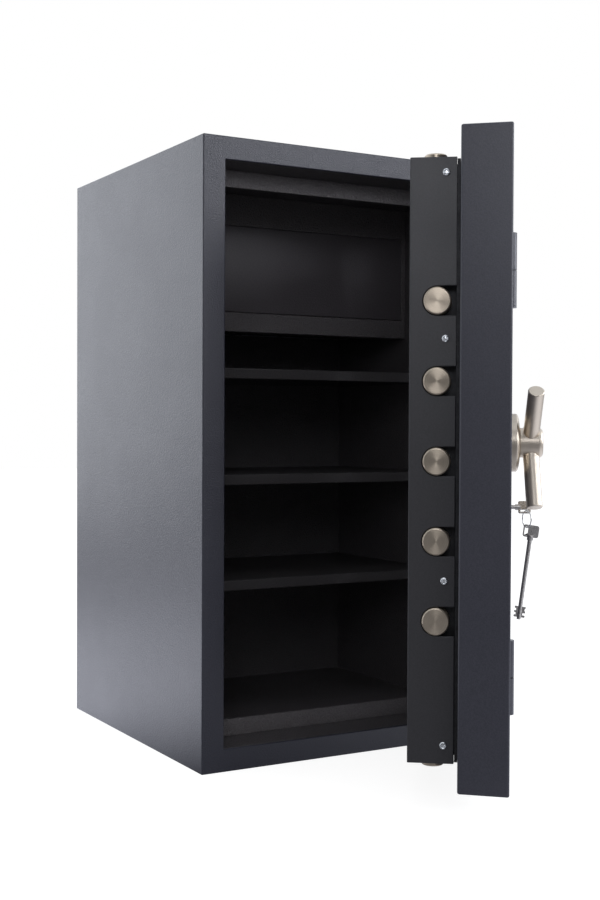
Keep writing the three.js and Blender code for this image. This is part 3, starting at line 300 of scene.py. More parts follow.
def platedMetal(name, look):
    # Plated, rolled or blackened sheet: cloudy crystals and fine scratches in the object's axes
    material, tree, shader = newMaterial(name, Metallic=look["metallic"])
    place = addNode(tree, "ShaderNodeTexCoord", -1100, 200).outputs["Object"]
    stretch = addNode(tree, "ShaderNodeMapping", -900, 200)
    stretch.inputs["Scale"].default_value = look["stretch"]
    tree.links.new(place, stretch.inputs["Vector"])
    scratches = noiseNode(tree, stretch.outputs[0], look["scratchScale"], detail=3.0, roughness=0.6,
                          x=-650, y=300)
    cloud = noiseNode(tree, place, look["cloudScale"], detail=4.0, roughness=0.6, x=-650, y=50)
    marks = placeGroup(tree, "handling", -650, -200, Smear_Scale=look["smearScale"])
    worn = scaled(tree, scratches, sheetMix["scratches"], -450, 300)
    tone = mathNode(tree, "ADD", worn, scaled(tree, cloud, sheetMix["cloud"], -450, 50), -250, 200)
    metal = blendColours(tree, rangeNode(tree, tone, *noiseSpan, 0.0, 1.0, -150, 200),
                         look["dark"], look["light"], 50, 200)
    tree.links.new(metal, shader.inputs["Base Color"])
    smeared = scaled(tree, marks.outputs["Smear"], sheetMix["cloud"], -450, -200)
    spread = mathNode(tree, "ADD", smeared, worn, -250, -100)
    rough = rangeNode(tree, spread, *noiseSpan, *look["roughness"], 0, -100)
    tree.links.new(rough, shader.inputs["Roughness"])
    bumpFrom(tree, shader, tone, look["bump"], look["depth"], 300, -300)
    return material


outsideCoat = {"grainScale": 1100.0, "waveScale": 500.0, "smearScale": 9.0,
               "dust": 0.08, "dustColour": (0.22, 0.22, 0.22)}
insideCoat = {"grainScale": 1000.0, "waveScale": 400.0, "smearScale": 8.0,
              "dust": 0.04, "dustColour": (0.10, 0.10, 0.10)}
coatLooks = {
    "outside": {**outsideCoat, "dark": (0.014, 0.0145, 0.024), "light": (0.039, 0.040, 0.056),
                "roughness": (0.31, 0.35), "bump": 0.42, "depth": 0.0003},
    # Door slab: the outside coat with a finer grain, and a base a touch lighter as painted light on
    # the door's edge
    "slab": {**outsideCoat, "dark": (0.016, 0.0165, 0.026), "light": (0.041, 0.042, 0.058),
             "roughness": (0.32, 0.36), "bump": 0.13, "depth": 0.0002},
    "inside": {**insideCoat, "dark": (0.050, 0.046, 0.050), "light": (0.090, 0.083, 0.089),
               "roughness": (0.40, 0.46), "bump": 1.0, "depth": 0.0005},
    # Shelves: a darker copy of the inside coat, painted shade
    "shelf": {**insideCoat, "dark": (0.030, 0.028, 0.030), "light": (0.054, 0.050, 0.053),
              "roughness": (0.40, 0.46), "bump": 0.5, "depth": 0.0004},
    # Deposit panel: the inside coat made smoother, with a base a touch lighter as painted light
    "panel": {**insideCoat, "dark": (0.054, 0.048, 0.055), "light": (0.096, 0.087, 0.096),
              "roughness": (0.38, 0.44), "bump": 0.35, "depth": 0.0004},
    # Locking lip and deposit housing: a much lighter copy of the inside coat, painted light for the
    # lit bands at the top of the doorway
    "lip": {**insideCoat, "waveScale": 380.0, "dark": (0.075, 0.069, 0.074),
            "light": (0.140, 0.130, 0.137), "roughness": (0.34, 0.40), "bump": 1.0,
            "depth": 0.0006},
    # Bolt cover: a darker, less blue copy of the outside coat, painted shade for the slab's shadow
    # on the cover
    "cover": {"dark": (0.014, 0.0137, 0.0165), "light": (0.029, 0.028, 0.033),
              "roughness": (0.38, 0.44), "grainScale": 1000.0, "waveScale": 480.0,
              "smearScale": 9.0, "bump": 0.07, "depth": 0.0003,
              "dust": 0.06, "dustColour": (0.20, 0.20, 0.20)},
    "filling": {"dark": (0.20, 0.20, 0.19), "light": (0.42, 0.41, 0.38),
                "roughness": (0.85, 0.95), "grainScale": 260.0, "waveScale": 40.0,
                "smearScale": 12.0, "bump": 0.9, "depth": 0.002,
                "dust": 0.3, "dustColour": (0.5, 0.49, 0.46)},
}
metalLooks = {
    "satin": {"dark": (0.57, 0.50, 0.41), "light": (0.77, 0.69, 0.585), "roughness": (0.34, 0.46),
              "stretch": 0.1, "alongScale": 3.0, "acrossScale": 5200.0, "smearScale": 40.0,
              "bump": 0.18, "depth": 0.0001},
    "turned": {"dark": (0.42, 0.345, 0.265), "light": (0.78, 0.68, 0.545),
               "roughness": (0.26, 0.38), "stretch": 0.7, "alongScale": 2.0,
               "acrossScale": 3600.0, "smearScale": 50.0, "bump": 0.20, "depth": 0.0001},
    "bright": {"dark": (0.60, 0.61, 0.62), "light": (0.85, 0.85, 0.84),
               "roughness": (0.18, 0.30), "stretch": 0.0, "alongScale": 3.0,
               "acrossScale": 4200.0, "smearScale": 60.0, "bump": 0.15, "depth": 0.0001},
}
sheetLooks = {
    "zinc": {"metallic": 1.0, "dark": (0.46, 0.47, 0.49), "light": (0.74, 0.75, 0.76),
             "roughness": (0.24, 0.40), "stretch": (1.0, 1.0, 0.12), "scratchScale": 1500.0,
             "cloudScale": 120.0, "smearScale": 30.0, "bump": 0.12, "depth": 0.0002},
    "milled": {"metallic": 1.0, "dark": (0.24, 0.24, 0.25), "light": (0.46, 0.46, 0.47),
               "roughness": (0.32, 0.50), "stretch": (1.0, 1.0, 0.06), "scratchScale": 1800.0,
               "cloudScale": 60.0, "smearScale": 22.0, "bump": 0.15, "depth": 0.0002},
    "key": {"metallic": 1.0, "dark": (0.34, 0.32, 0.30), "light": (0.90, 0.87, 0.83),
            "roughness": (0.24, 0.38), "stretch": (1.0, 1.0, 0.2), "scratchScale": 1500.0,
            "cloudScale": 520.0, "smearScale": 60.0, "bump": 0.5, "depth": 0.0005},
    "screw": {"metallic": 1.0, "dark": (0.78, 0.80, 0.82), "light": (0.94, 0.95, 0.96),
              "roughness": (0.20, 0.30), "stretch": (1.0, 1.0, 1.0), "scratchScale": 1500.0,
              "cloudScale": 400.0, "smearScale": 60.0, "bump": 0.1, "depth": 0.0002},
    "blackened": {"metallic": 0.75, "dark": (0.018, 0.018, 0.020), "light": (0.055, 0.055, 0.058),
                  "roughness": (0.36, 0.55), "stretch": (1.0, 1.0, 0.2), "scratchScale": 1500.0,
                  "cloudScale": 90.0, "smearScale": 26.0, "bump": 0.2, "depth": 0.0003},
}
finishes = {
    "anthracite": coatedFinish("anthracite coat", coatLooks["outside"]),
    "inner_paint": coatedFinish("inner coat", coatLooks["inside"]),
    # The bolt cover, slab, shelf, deposit panel and lip coats are lighter or darker copies of the
    # outside and inside coats: painted light and shade
    "cover_coat_painted_shade": coatedFinish("bolt cover coat with painted shade", coatLooks["cover"]),
    "slab_coat_painted_light": coatedFinish("door slab coat with painted light", coatLooks["slab"]),
    "shelf_coat_painted_shade": coatedFinish("shelf coat with painted shade", coatLooks["shelf"]),
    "panel_coat_painted_light": coatedFinish("deposit panel coat with painted light", coatLooks["panel"]),
    "lip_coat_painted_light": coatedFinish("doorway lip coat with painted light", coatLooks["lip"]),
    "filling": coatedFinish("mineral filling", coatLooks["filling"]),
    "satin_steel": workedMetal("satin steel", metalLooks["satin"]),
    "turned_steel": workedMetal("turned steel", metalLooks["turned"]),
    "bright_zinc": workedMetal("bright zinc", metalLooks["bright"]),
    "zinc": platedMetal("zinc plate", sheetLooks["zinc"]),
    "plain_steel": platedMetal("milled steel", sheetLooks["milled"]),
    "key_steel": platedMetal("nickelled key", sheetLooks["key"]),
    "screw_zinc": platedMetal("zinc screw", sheetLooks["screw"]),
    "dark_steel": platedMetal("blackened steel", sheetLooks["blackened"]),
}
print("finishes made:", len(finishes))

# Surfaces

plateSharp = 38.0  # degrees between faces past which an edge stays sharp
turnedSharp = 60.0
screwSharp = 50.0


def finishPiece(piece, node, finish, sharpDegrees):
    # Gives a new piece its finish and body, and hides the node that it stands for
    piece.data.materials.clear()
    piece.data.materials.append(finishes[finish])
    piece.data.shade_smooth()
    piece.data.set_sharp_from_angle(angle=math.radians(sharpDegrees))
    bpy.context.scene.collection.objects.link(piece)
    weighted = piece.modifiers.new("even shading", "WEIGHTED_NORMAL")
    weighted.keep_sharp = True
    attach(piece, nodeBody[node])
    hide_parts(node)


plateLook = {"mergeDistance": 2e-6, "flatDegrees": 0.5, "bevelSegments": 2, "bevelDegrees": 30}


def roundedCopy(node, edgeRadius, finish, clamped):
    # A copy of the frame's solid: doubles merged, flat faces joined, edges rounded by a bevel
    mesh = frame["nodes"][node].data.copy()
    work = bmesh.new()
    work.from_mesh(mesh)
    bmesh.ops.remove_doubles(work, verts=work.verts, dist=plateLook["mergeDistance"])
    bmesh.ops.dissolve_limit(work, angle_limit=math.radians(plateLook["flatDegrees"]),
                             verts=work.verts, edges=work.edges)
    work.to_mesh(mesh)
    work.free()
    piece = bpy.data.objects.new(node + "_surface", mesh)
    bevel = piece.modifiers.new("soft edges", "BEVEL")
    bevel.width = edgeRadius
    bevel.segments = plateLook["bevelSegments"]
    bevel.limit_method = "ANGLE"
    bevel.angle_limit = math.radians(plateLook["bevelDegrees"])
    bevel.use_clamp_overlap = clamped
    finishPiece(piece, node, finish, plateSharp)


poleDistance = 1e-7  # a pole's points all lie on one spot and are merged


def gridPiece(name, points, across, down, place):
    # A grid of points becomes quads; the map's first axis runs along the columns and its second
    # down the rows
    rows, columns = points.shape[:2]
    flat = points.reshape(-1, 3)
    turn = np.array(place)
    flat = flat @ turn[:3, :3].T + turn[:3, 3]
    row, column = np.meshgrid(np.arange(rows - 1), np.arange(columns - 1), indexing="ij")
    corner = (row * columns + column).ravel()
    faces = np.stack([corner, corner + 1, corner + columns + 1, corner + columns], 1)
    mesh = bpy.data.meshes.new(name)
    mesh.from_pydata(flat.tolist(), [], faces.tolist())
    surfaceMap = np.stack(np.meshgrid(down, across, indexing="ij")[::-1], -1).reshape(-1, 2)
    layer = mesh.uv_layers.new(name="surface")
    layer.data.foreach_set("uv", surfaceMap[faces.ravel()].ravel())
    work = bmesh.new()
    work.from_mesh(mesh)
    bmesh.ops.remove_doubles(work, verts=work.verts, dist=poleDistance)
    bmesh.ops.recalc_face_normals(work, faces=work.faces)
    work.to_mesh(mesh)
    work.free()
    return bpy.data.objects.new(name, mesh)


cornerLook = {"steps": 4, "mostOfRun": 0.45}


def softCorners(points, radius):
    # Each inner corner of a profile is cut back on both sides and bridged by a parabola:
    # (1-t)^2 * start + 2t(1-t) * corner + t^2 * end
    points = [np.array(point, float) for point in points]
    share = np.linspace(0, 1, cornerLook["steps"] + 1)[:, None]
    rounded = [points[0][None]]
    for before, corner, after in zip(points, points[1:], points[2:]):
        lengthIn = np.linalg.norm(before - corner)
        lengthOut = np.linalg.norm(after - corner)
        reach = min(radius, lengthIn * cornerLook["mostOfRun"], lengthOut * cornerLook["mostOfRun"])
        start = corner + (before - corner) / lengthIn * reach
        end = corner + (after - corner) / lengthOut * reach
        rounded.append((1 - share) ** 2 * start + 2 * share * (1 - share) * corner
                       + share ** 2 * end)
    rounded.append(points[-1][None])
    return np.concatenate(rounded)


def filled(profile, spacing):
    # Adds points along long straight runs, so that a map or a light gradient stays even
    counts = np.maximum(1, np.ceil(np.hypot(*np.diff(profile, axis=0).T) / spacing)).astype(int)
    runs = [np.linspace(start, end, count, endpoint=False)
            for start, end, count in zip(profile[:-1], profile[1:], counts)]
    return np.concatenate(runs + [profile[-1:]])


def turnedPiece(name, profile, place, centre, along, across, sides):
    # point = centre + along * height + radius * (across * cos(turn) + side * sin(turn))
    profile = np.asarray(profile, float)
    along = np.asarray(along, float)
    across = np.asarray(across, float)
    side = np.cross(along, across)
    turn = np.linspace(0, 2 * np.pi, sides + 1)
    ring = np.cos(turn)[:, None] * across + np.sin(turn)[:, None] * side
    radii, heights = profile[:, 0, None, None], profile[:, 1, None, None]
    points = np.asarray(centre) + heights * along + radii * ring
    steps = np.hypot(*np.diff(profile, axis=0).T)
    down = np.concatenate([[0], np.cumsum(steps)])
    return gridPiece(name, points, turn / (2 * np.pi), down, place)


def sweptPiece(name, path, normal, radius, place, sides):
    # A round section carried along a flat path; normal stands square to the path's plane
    path = np.asarray(path, float)
    direction = np.gradient(path, axis=0)
    direction /= np.linalg.norm(direction, axis=1, keepdims=True)
    normal = np.asarray(normal, float)
    side = np.cross(direction, normal)
    turn = np.linspace(0, 2 * np.pi, sides + 1)
    ring = np.cos(turn)[None, :, None] * side[:, None] + np.sin(turn)[None, :, None] * normal
    tube = path[:, None] + radius * ring
    caps = [np.repeat(path[end][None, None], sides + 1, 1) for end in (0, -1)]
    points = np.concatenate([caps[0], tube, caps[1]])
    steps = np.linalg.norm(np.diff(path, axis=0), axis=1)
    down = np.concatenate([[0, radius], radius + np.cumsum(steps), [2 * radius + steps.sum()]])
    return gridPiece(name, points, turn / (2 * np.pi), down, place)


# Sheet and plate pieces keep the frame's shapes with rounded edges

edgeRadii = {
    "outer_casing": 0.0016, "inner_liner": 0.0012, "locking_lip": 0.0010,
    "shelf_1": 0.0012, "shelf_2": 0.0012, "shelf_3": 0.0012,
    "deposit_housing": 0.0012, "deposit_panel": 0.0010,
    "door_pan": 0.0024, "door_back_plate": 0.0006, "boltwork_plate": 0.0005, "bolt_cover": 0.0012,
    "deposit_chute": 0.0004, "fishing_baffle": 0.0004, "drawer_sleeve": 0.0008,
    "drawer_runner_left": 0.0005, "drawer_runner_right": 0.0005,
    "drawer_tray": 0.0005, "drawer_face": 0.0012, "trap_floor": 0.0004,
    "drawer_lock_body": 0.0006, "drawer_lock_plug": 0.0003,
    "lower_hinge_frame_knuckle": 0.0006, "upper_hinge_frame_knuckle": 0.0006,
    "lower_hinge_door_knuckle": 0.0006, "upper_hinge_door_knuckle": 0.0006,
    "lower_hinge_pin": 0.0003, "upper_hinge_pin": 0.0003,
    "bolt_carriage": 0.0006, "lock_lug": 0.0004, "top_bolt_rod": 0.0005, "bottom_bolt_rod": 0.0005,
    "crank_disc": 0.0004, "handle_spindle": 0.0004, "lock_case": 0.0006, "lock_bolt": 0.0006,
    "key_escutcheon": 0.0004, "door_key": 0.0004, "spare_key": 0.0004,
}
# Short edges at their holes would hold the whole bevel back, so theirs isn't clamped
unclamped = ("door_pan", "bolt_cover")
# Finishes that differ from the node's own slot: the keys' own metal, and copies of the coats with
# painted light or shade
ownFinish = {"door_pan": "slab_coat_painted_light", "bolt_cover": "cover_coat_painted_shade",
             "shelf_1": "shelf_coat_painted_shade", "shelf_2": "shelf_coat_painted_shade", "shelf_3": "shelf_coat_painted_shade",
             "deposit_panel": "panel_coat_painted_light", "deposit_housing": "lip_coat_painted_light",
             "locking_lip": "lip_coat_painted_light", "door_key": "key_steel", "spare_key": "key_steel"}
for node, radius in edgeRadii.items():
    roundedCopy(node, radius, ownFinish.get(node, nodeSlot[node]), node not in unclamped)
print("plate pieces rounded:", len(edgeRadii))

# The two fillings lie sealed inside the walls and keep their solids
for node in ("barrier_filling", "door_filling"):
    for slot in frame["nodes"][node].material_slots:
        slot.material = finishes["filling"]

# Side bolts: a turned end face, a small chamfer and a tenon at the heel
boltSpacing = 0.004  # longest run between two points of a profile
sideBoltLook = {"length": 0.080, "chamfer": 0.0016, "softness": 0.0005, "tenonRadius": 0.007,
                "sides": 96}
sideBolts = sorted(node for node in frame["nodes"] if node.startswith("side_bolt"))
for node in sideBolts:
    low, high = boxIn(doorPlace, node)
    radius = (high[2] - low[2]) / 2
    chamfer = sideBoltLook["chamfer"]
    length, tenonRadius = sideBoltLook["length"], sideBoltLook["tenonRadius"]
    heel = high[0] - low[0]
    outline = softCorners([(0, 0), (radius - chamfer, 0), (radius, chamfer), (radius, length),
                           (tenonRadius, length), (tenonRadius, heel), (0, heel)],
                          sideBoltLook["softness"])
    centre = (low[0], (low[1] + high[1]) / 2, (low[2] + high[2]) / 2)
    bolt = turnedPiece(node + "_surface", filled(outline, boltSpacing), doorPlace, centre,
                       (1, 0, 0), (0, 0, 1), sideBoltLook["sides"])
    finishPiece(bolt, node, "turned_steel", turnedSharp)

# Top and bottom bolts
endBoltLook = {"chamfer": 0.0016, "softness": 0.0005, "sides": 84}
for node in ("top_bolt", "bottom_bolt"):
    low, high = boxIn(doorPlace, node)
    radius = (high[0] - low[0]) / 2
    length = high[2] - low[2]
    chamfer = endBoltLook["chamfer"]
    outline = softCorners([(0, 0), (radius - chamfer, 0), (radius, chamfer), (radius, length),
                           (0, length)], endBoltLook["softness"])
    upwards = node == "top_bolt"
    centre = ((low[0] + high[0]) / 2, (low[1] + high[1]) / 2, high[2] if upwards else low[2])
    bolt = turnedPiece(node + "_surface", filled(outline, boltSpacing), doorPlace, centre,
                       (0, 0, -1 if upwards else 1), (1, 0, 0), endBoltLook["sides"])
    finishPiece(bolt, node, "turned_steel", turnedSharp)
print("bolts turned")

# Handle: domed rose, hub with a rounded end and three splayed spokes
handleLook = {"roseRim": 0.012, "roseSoft": 0.0005, "hubFillet": 0.006, "hubSoft": 0.0008,
              "spokeRadius": 0.011, "spokeReach": 0.093, "spokeChamfer": 0.001,
              "spokeSoft": 0.0004, "spokeHeight": 0.032, "splay": 3.0, "angles": (49, -71, 169),
              "spokeStart": 0.016, "spokeSides": 72, "sides": 96, "spacing": 0.003,
              "spokeSpacing": 0.004, "seatGap": 0.0003, "curveSteps": 18}
roseLow, roseHigh = boxIn(doorPlace, "handle_rose")
hubLow, hubHigh = boxIn(doorPlace, "handle_hub")
handleX = (roseLow[0] + roseHigh[0]) / 2
handleZ = (roseLow[2] + roseHigh[2]) / 2
roseRadius = (roseHigh[0] - roseLow[0]) / 2
roseHeight = roseHigh[1] - roseLow[1]
hubRadius = (hubHigh[2] - hubLow[2]) / 2
hubLength = hubHigh[1] - hubLow[1]
outward = (0, -1, 0)

# Rose dome: radius falls with the cosine and height grows with the sine of a quarter turn
quarter = np.linspace(0, np.pi / 2, handleLook["curveSteps"])
dome = np.stack([hubRadius + (roseRadius - hubRadius) * np.cos(quarter),
                 handleLook["roseRim"] + (roseHeight - handleLook["roseRim"]) * np.sin(quarter)], 1)
roseFoot = softCorners([(0, 0), (roseRadius, 0), tuple(dome[0])], handleLook["roseSoft"])
roseOutline = np.concatenate([[(0, 0)], roseFoot[1:-1], dome, [(0, roseHeight)]])
rose = turnedPiece("handle_rose_surface", filled(roseOutline, handleLook["spacing"]), doorPlace,
                   (handleX, roseHigh[1], handleZ), outward, (1, 0, 0), handleLook["sides"])
finishPiece(rose, "handle_rose", "satin_steel", turnedSharp)

# Hub: the outer edge is a quarter ellipse
fillet = handleLook["hubFillet"]
curve = np.stack([hubRadius - fillet + fillet * np.cos(quarter),
                  hubLength - fillet + fillet * np.sin(quarter)], 1)
hubFoot = softCorners([(0, 0), (hubRadius, 0), tuple(curve[0])], handleLook["hubSoft"])
hubOutline = np.concatenate([[(0, 0)], hubFoot[1:-1], curve, [(0, hubLength)]])
hub = turnedPiece("handle_hub_surface", filled(hubOutline, handleLook["spacing"]), doorPlace,
                  (handleX, hubHigh[1], handleZ), outward, (1, 0, 0), handleLook["sides"])
finishPiece(hub, "handle_hub", "satin_steel", turnedSharp)

# Spokes: each leans out from the door's face by the splay
faceY = roseHigh[1] + handleLook["seatGap"]
for number, angle in enumerate(handleLook["angles"], 1):
    turn, splay = math.radians(angle), math.radians(handleLook["splay"])
    along = np.array((-math.cos(turn) * math.cos(splay), -math.sin(splay),
                      math.sin(turn) * math.cos(splay)))
    square = np.cross(along, (0, 1, 0))
    square /= np.linalg.norm(square)
    radius, chamfer = handleLook["spokeRadius"], handleLook["spokeChamfer"]
    start, end = handleLook["spokeStart"], handleLook["spokeReach"]
    outline = softCorners([(0, start), (radius, start), (radius, end - chamfer),
                           (radius - chamfer, end), (0, end)], handleLook["spokeSoft"])
    node = f"handle_spoke_{number}"
    spoke = turnedPiece(node + "_surface", filled(outline, handleLook["spokeSpacing"]), doorPlace,
                        (handleX, faceY - handleLook["spokeHeight"], handleZ), along, square,
                        handleLook["spokeSides"])
    finishPiece(spoke, node, "satin_steel", turnedSharp)
print("handle turned")

# Cover screws: a pan head whose cross recess is a dip in the turned grid
screwLook = {"headHeight": 0.003, "dome": 2.6, "recess": 0.0021, "slotWidth": 0.0016,
             "slotReach": 0.0028, "heart": 0.0013, "slope": 0.0006, "sides": 64, "rings": 26}


def within(value, limit):
    # 1 inside the limit, falling to 0 over the slope of the recess
    return np.clip((limit + screwLook["slope"] - np.abs(value)) / screwLook["slope"], 0, 1)


for node in sorted(node for node in frame["nodes"] if node.startswith("cover_screw")):
    low, high = boxIn(doorPlace, node)
    headRadius = (high[2] - low[2]) / 2
    seat = low[0] + screwLook["headHeight"]
    reach = np.linspace(0, 1, screwLook["rings"])
    # Head height over the seat: a superellipse, (1 - share^dome)^(1/dome)
    radii = headRadius * (1 - reach)
    dome = screwLook["dome"]
    lift = screwLook["headHeight"] * (1 - (radii / headRadius) ** dome) ** (1 / dome)
    turn = np.linspace(0, 2 * np.pi, screwLook["sides"] + 1)
    acrossHead = radii[:, None] * np.cos(turn)
    upHead = radii[:, None] * np.sin(turn)
    halfWidth, armReach = screwLook["slotWidth"] / 2, screwLook["slotReach"]
    # Recess: two crossed slots and a round heart, each with sloping sides
    cross = np.maximum(within(acrossHead, halfWidth) * within(upHead, armReach),
                       within(upHead, halfWidth) * within(acrossHead, armReach))
    cross = np.maximum(cross, within(np.hypot(acrossHead, upHead), screwLook["heart"]))
    height = lift[:, None] - screwLook["recess"] * cross
    middleY, middleZ = (low[1] + high[1]) / 2, (low[2] + high[2]) / 2
    head = np.stack([seat - height, middleY + acrossHead, middleZ + upHead], -1)
    under = np.repeat(np.array([[[seat, middleY, middleZ]]]), len(turn), 1)
    screw = gridPiece(node + "_surface", np.concatenate([under, head]), turn / (2 * np.pi),
                      np.concatenate([[0], headRadius + reach * headRadius]), doorPlace)
    finishPiece(screw, node, "screw_zinc", screwSharp)

# Key ring: a torus on the ring's own centre and plane, taken from the frame
ringSteps = {"around": 97, "wire": 17}
ringPoints = nodePoints("key_ring")
ringCentre = ringPoints.mean(0)
ringAxes = np.linalg.svd(ringPoints - ringCentre, full_matrices=False)[2]
ringDistances = np.linalg.norm(ringPoints - ringCentre, axis=1)
ringRadius = (ringDistances.max() + ringDistances.min()) / 2
wireRadius = (ringDistances.max() - ringDistances.min()) / 2
bigTurn, smallTurn = np.meshgrid(np.linspace(0, 2 * np.pi, ringSteps["around"]),
                                 np.linspace(0, 2 * np.pi, ringSteps["wire"]), indexing="ij")
spread = ringRadius + wireRadius * np.cos(smallTurn)
torus = (ringCentre + (spread * np.cos(bigTurn))[..., None] * ringAxes[0]
         + (spread * np.sin(bigTurn))[..., None] * ringAxes[1]
         + (wireRadius * np.sin(smallTurn))[..., None] * ringAxes[2])
ring = gridPiece("key_ring_surface", torus, np.linspace(0, 1, ringSteps["wire"]),
                 np.linspace(0, 2 * np.pi * ringRadius, ringSteps["around"]), safePlace)
finishPiece(ring, "key_ring", "bright_zinc", turnedSharp)

# Drawer pull: a round bar on a bracket-shaped path with quarter-circle bends
pullLook = {"radius": 0.005, "bend": 0.012, "sides": 36, "bendSteps": 12, "legSteps": 8,
            "barSteps": 24}
low, high = boxIn(safePlace, "drawer_pull")
radius, bend = pullLook["radius"], pullLook["bend"]
left, right, out = low[0] + radius, high[0] - radius, high[1] - radius
start, level = low[1], (low[2] + high[2]) / 2
cornerTurn = np.linspace(0, np.pi / 2, pullLook["bendSteps"])
leftBend = np.stack([left + bend - bend * np.cos(cornerTurn),
                     out - bend + bend * np.sin(cornerTurn)], 1)
rightBend = np.stack([right - bend + bend * np.sin(cornerTurn),
                      out - bend + bend * np.cos(cornerTurn)], 1)
legSteps = pullLook["legSteps"]
flatPath = np.concatenate([
    np.linspace((left, start), leftBend[0], legSteps)[:-1], leftBend,
    np.linspace(leftBend[-1], rightBend[0], pullLook["barSteps"])[1:-1], rightBend,
    np.linspace(rightBend[-1], (right, start), legSteps)[1:]])
pullPath = np.column_stack([flatPath, np.full(len(flatPath), level)])
pull = sweptPiece("drawer_pull_surface", pullPath, (0, 0, 1), radius, safePlace,
                  pullLook["sides"])
finishPiece(pull, "drawer_pull", "satin_steel", turnedSharp)
print("small turned pieces made")

# Floor, light and surroundings: white for the camera, and a room that is darker behind the camera
studio = {"floorSize": 24.0, "floorPoints": 3, "floorColour": (0.34, 0.34, 0.34),
          "roomColour": (0.07, 0.07, 0.07), "floorLift": 0.86, "worldLight": 0.83,
          "paperSpan": (1.0, 2.2), "paperSeen": 1.5, "cardSeen": 0.5, "cardSpan": (-0.2, 0.3),
          "roomFront": 0.15, "roomBack": 0.48, "roomSpan": (-0.25, 0.25),
          "backSeen": 0.95, "backSpan": (-0.5, 0.5),
          "frontLowSeen": 0.15, "frontHighSeen": 0.04, "frontSpan": (-0.14, 0.14),
          "ceilingSeen": 0.75, "ceilingSpan": (0.5, 0.8),
          "rightSeen": 0.9, "rightSpan": (0.4, 0.85),
          "reflectedTint": (0.91, 0.96, 1.04), "paperTint": (0.92, 0.95, 1.08),
          "lampTint": (0.965, 0.985, 1.05)}


def lightPath(tree):
    # The camera mask, and the mask of reflections and glass
    path = addNode(tree, "ShaderNodeLightPath", -1400, 300)
    mirrored = mathNode(tree, "MAXIMUM", path.outputs["Is Glossy Ray"],
                        path.outputs["Is Transmission Ray"], -1200, 200)
    return path.outputs["Is Camera Ray"], mirrored


def makeFloor():
    # A level square grid, centred under the safe
    points = studio["floorPoints"]
    run = np.linspace(-studio["floorSize"] / 2, studio["floorSize"] / 2, points)
    share = np.linspace(0, 1, points)
    grid = np.stack(np.meshgrid(run, run, indexing="ij") + [np.zeros((points, points))], -1)
    floor = gridPiece("floor", grid, share, share, safePlace)
    bpy.context.scene.collection.objects.link(floor)
    material, tree, shader = newMaterial("floor paper", Roughness=0.9, Specular_IOR_Level=0.1)
    camera, mirrored = lightPath(tree)
    place = addNode(tree, "ShaderNodeTexCoord", -1400, -100).outputs["Object"]
    away = addNode(tree, "ShaderNodeVectorMath", -1200, -100, operation="LENGTH")
    tree.links.new(place, away.inputs[0])
    parts = addNode(tree, "ShaderNodeSeparateXYZ", -1200, -300)
    tree.links.new(place, parts.inputs[0])
    # Reflections see white paper behind the safe and under its handle, and beyond it the room,
    # which is darker in front
    paper = rangeNode(tree, away.outputs["Value"], *studio["paperSpan"], 1.0, 0.0, -1000, -100)
    room = rangeNode(tree, parts.outputs["Y"], *studio["roomSpan"], studio["roomFront"],
                     studio["roomBack"], -1000, -300)
    behind = rangeNode(tree, parts.outputs["Y"], *studio["roomSpan"], 0.0, 1.0, -1000, -500)
    card = rangeNode(tree, parts.outputs["X"], *studio["cardSpan"], 0.0, studio["cardSeen"],
                     -1000, -700)
    white = scaled(tree, paper, mathNode(tree, "MAXIMUM", behind, card, -950, -300), -900, -200)
    reflected = blendNumbers(tree, white, room, studio["paperSeen"], -800, -200)
    lift = blendNumbers(tree, mirrored, scaled(tree, camera, studio["floorLift"], -800, 200),
                        reflected, -500, 0)
    dark = scaled(tree, mirrored, mathNode(tree, "SUBTRACT", 1.0, white, -900, 500), -700, 500)
    tree.links.new(blendColours(tree, dark, studio["floorColour"], studio["roomColour"], -300, 500),
                   shader.inputs["Base Color"])
    tree.links.new(blendColours(tree, mirrored, (1.0, 1.0, 1.0), studio["paperTint"], -300, 700),
                   shader.inputs["Emission Color"])
    tree.links.new(lift, shader.inputs["Emission Strength"])
    floor.data.materials.append(material)


def makeWorld():
    world = bpy.data.worlds.new("studio surroundings")
    bpy.context.scene.world = world
    world.use_nodes = True
    tree = world.node_tree
    background = tree.nodes["Background"]
    camera, mirrored = lightPath(tree)
    tint = blendColours(tree, mirrored, (1.0, 1.0, 1.0), studio["reflectedTint"], -300, 300)
    tree.links.new(tint, background.inputs["Color"])
    direction = addNode(tree, "ShaderNodeSeparateXYZ", -1200, -200)
    around = addNode(tree, "ShaderNodeTexCoord", -1400, -200).outputs["Generated"]
    tree.links.new(around, direction.inputs[0])
    # Reflections see white behind the safe and to its right, a light ceiling, and in front a
    # wall that darkens upwards
    front = rangeNode(tree, direction.outputs["Z"], *studio["frontSpan"],
                      studio["frontLowSeen"], studio["frontHighSeen"], -1000, -300)
    back = rangeNode(tree, direction.outputs["Y"], *studio["backSpan"], 0.0, 1.0, -1000, -100)
    ceiling = rangeNode(tree, direction.outputs["Z"], *studio["ceilingSpan"], 0.0, 1.0,
                        -1000, -700)
    risen = blendNumbers(tree, ceiling, front, studio["ceilingSeen"], -900, -600)
    right = rangeNode(tree, direction.outputs["X"], *studio["rightSpan"], 0.0, 1.0, -1000, -500)
    ahead = blendNumbers(tree, right, risen, studio["rightSeen"], -900, -400)
    seen = blendNumbers(tree, back, ahead, studio["backSeen"], -800, -200)
    strength = blendNumbers(tree, mirrored, studio["worldLight"], seen, -600, 0)
    shown = mathNode(tree, "MAXIMUM", strength, camera, -300, 0)
    tree.links.new(shown, background.inputs["Strength"])


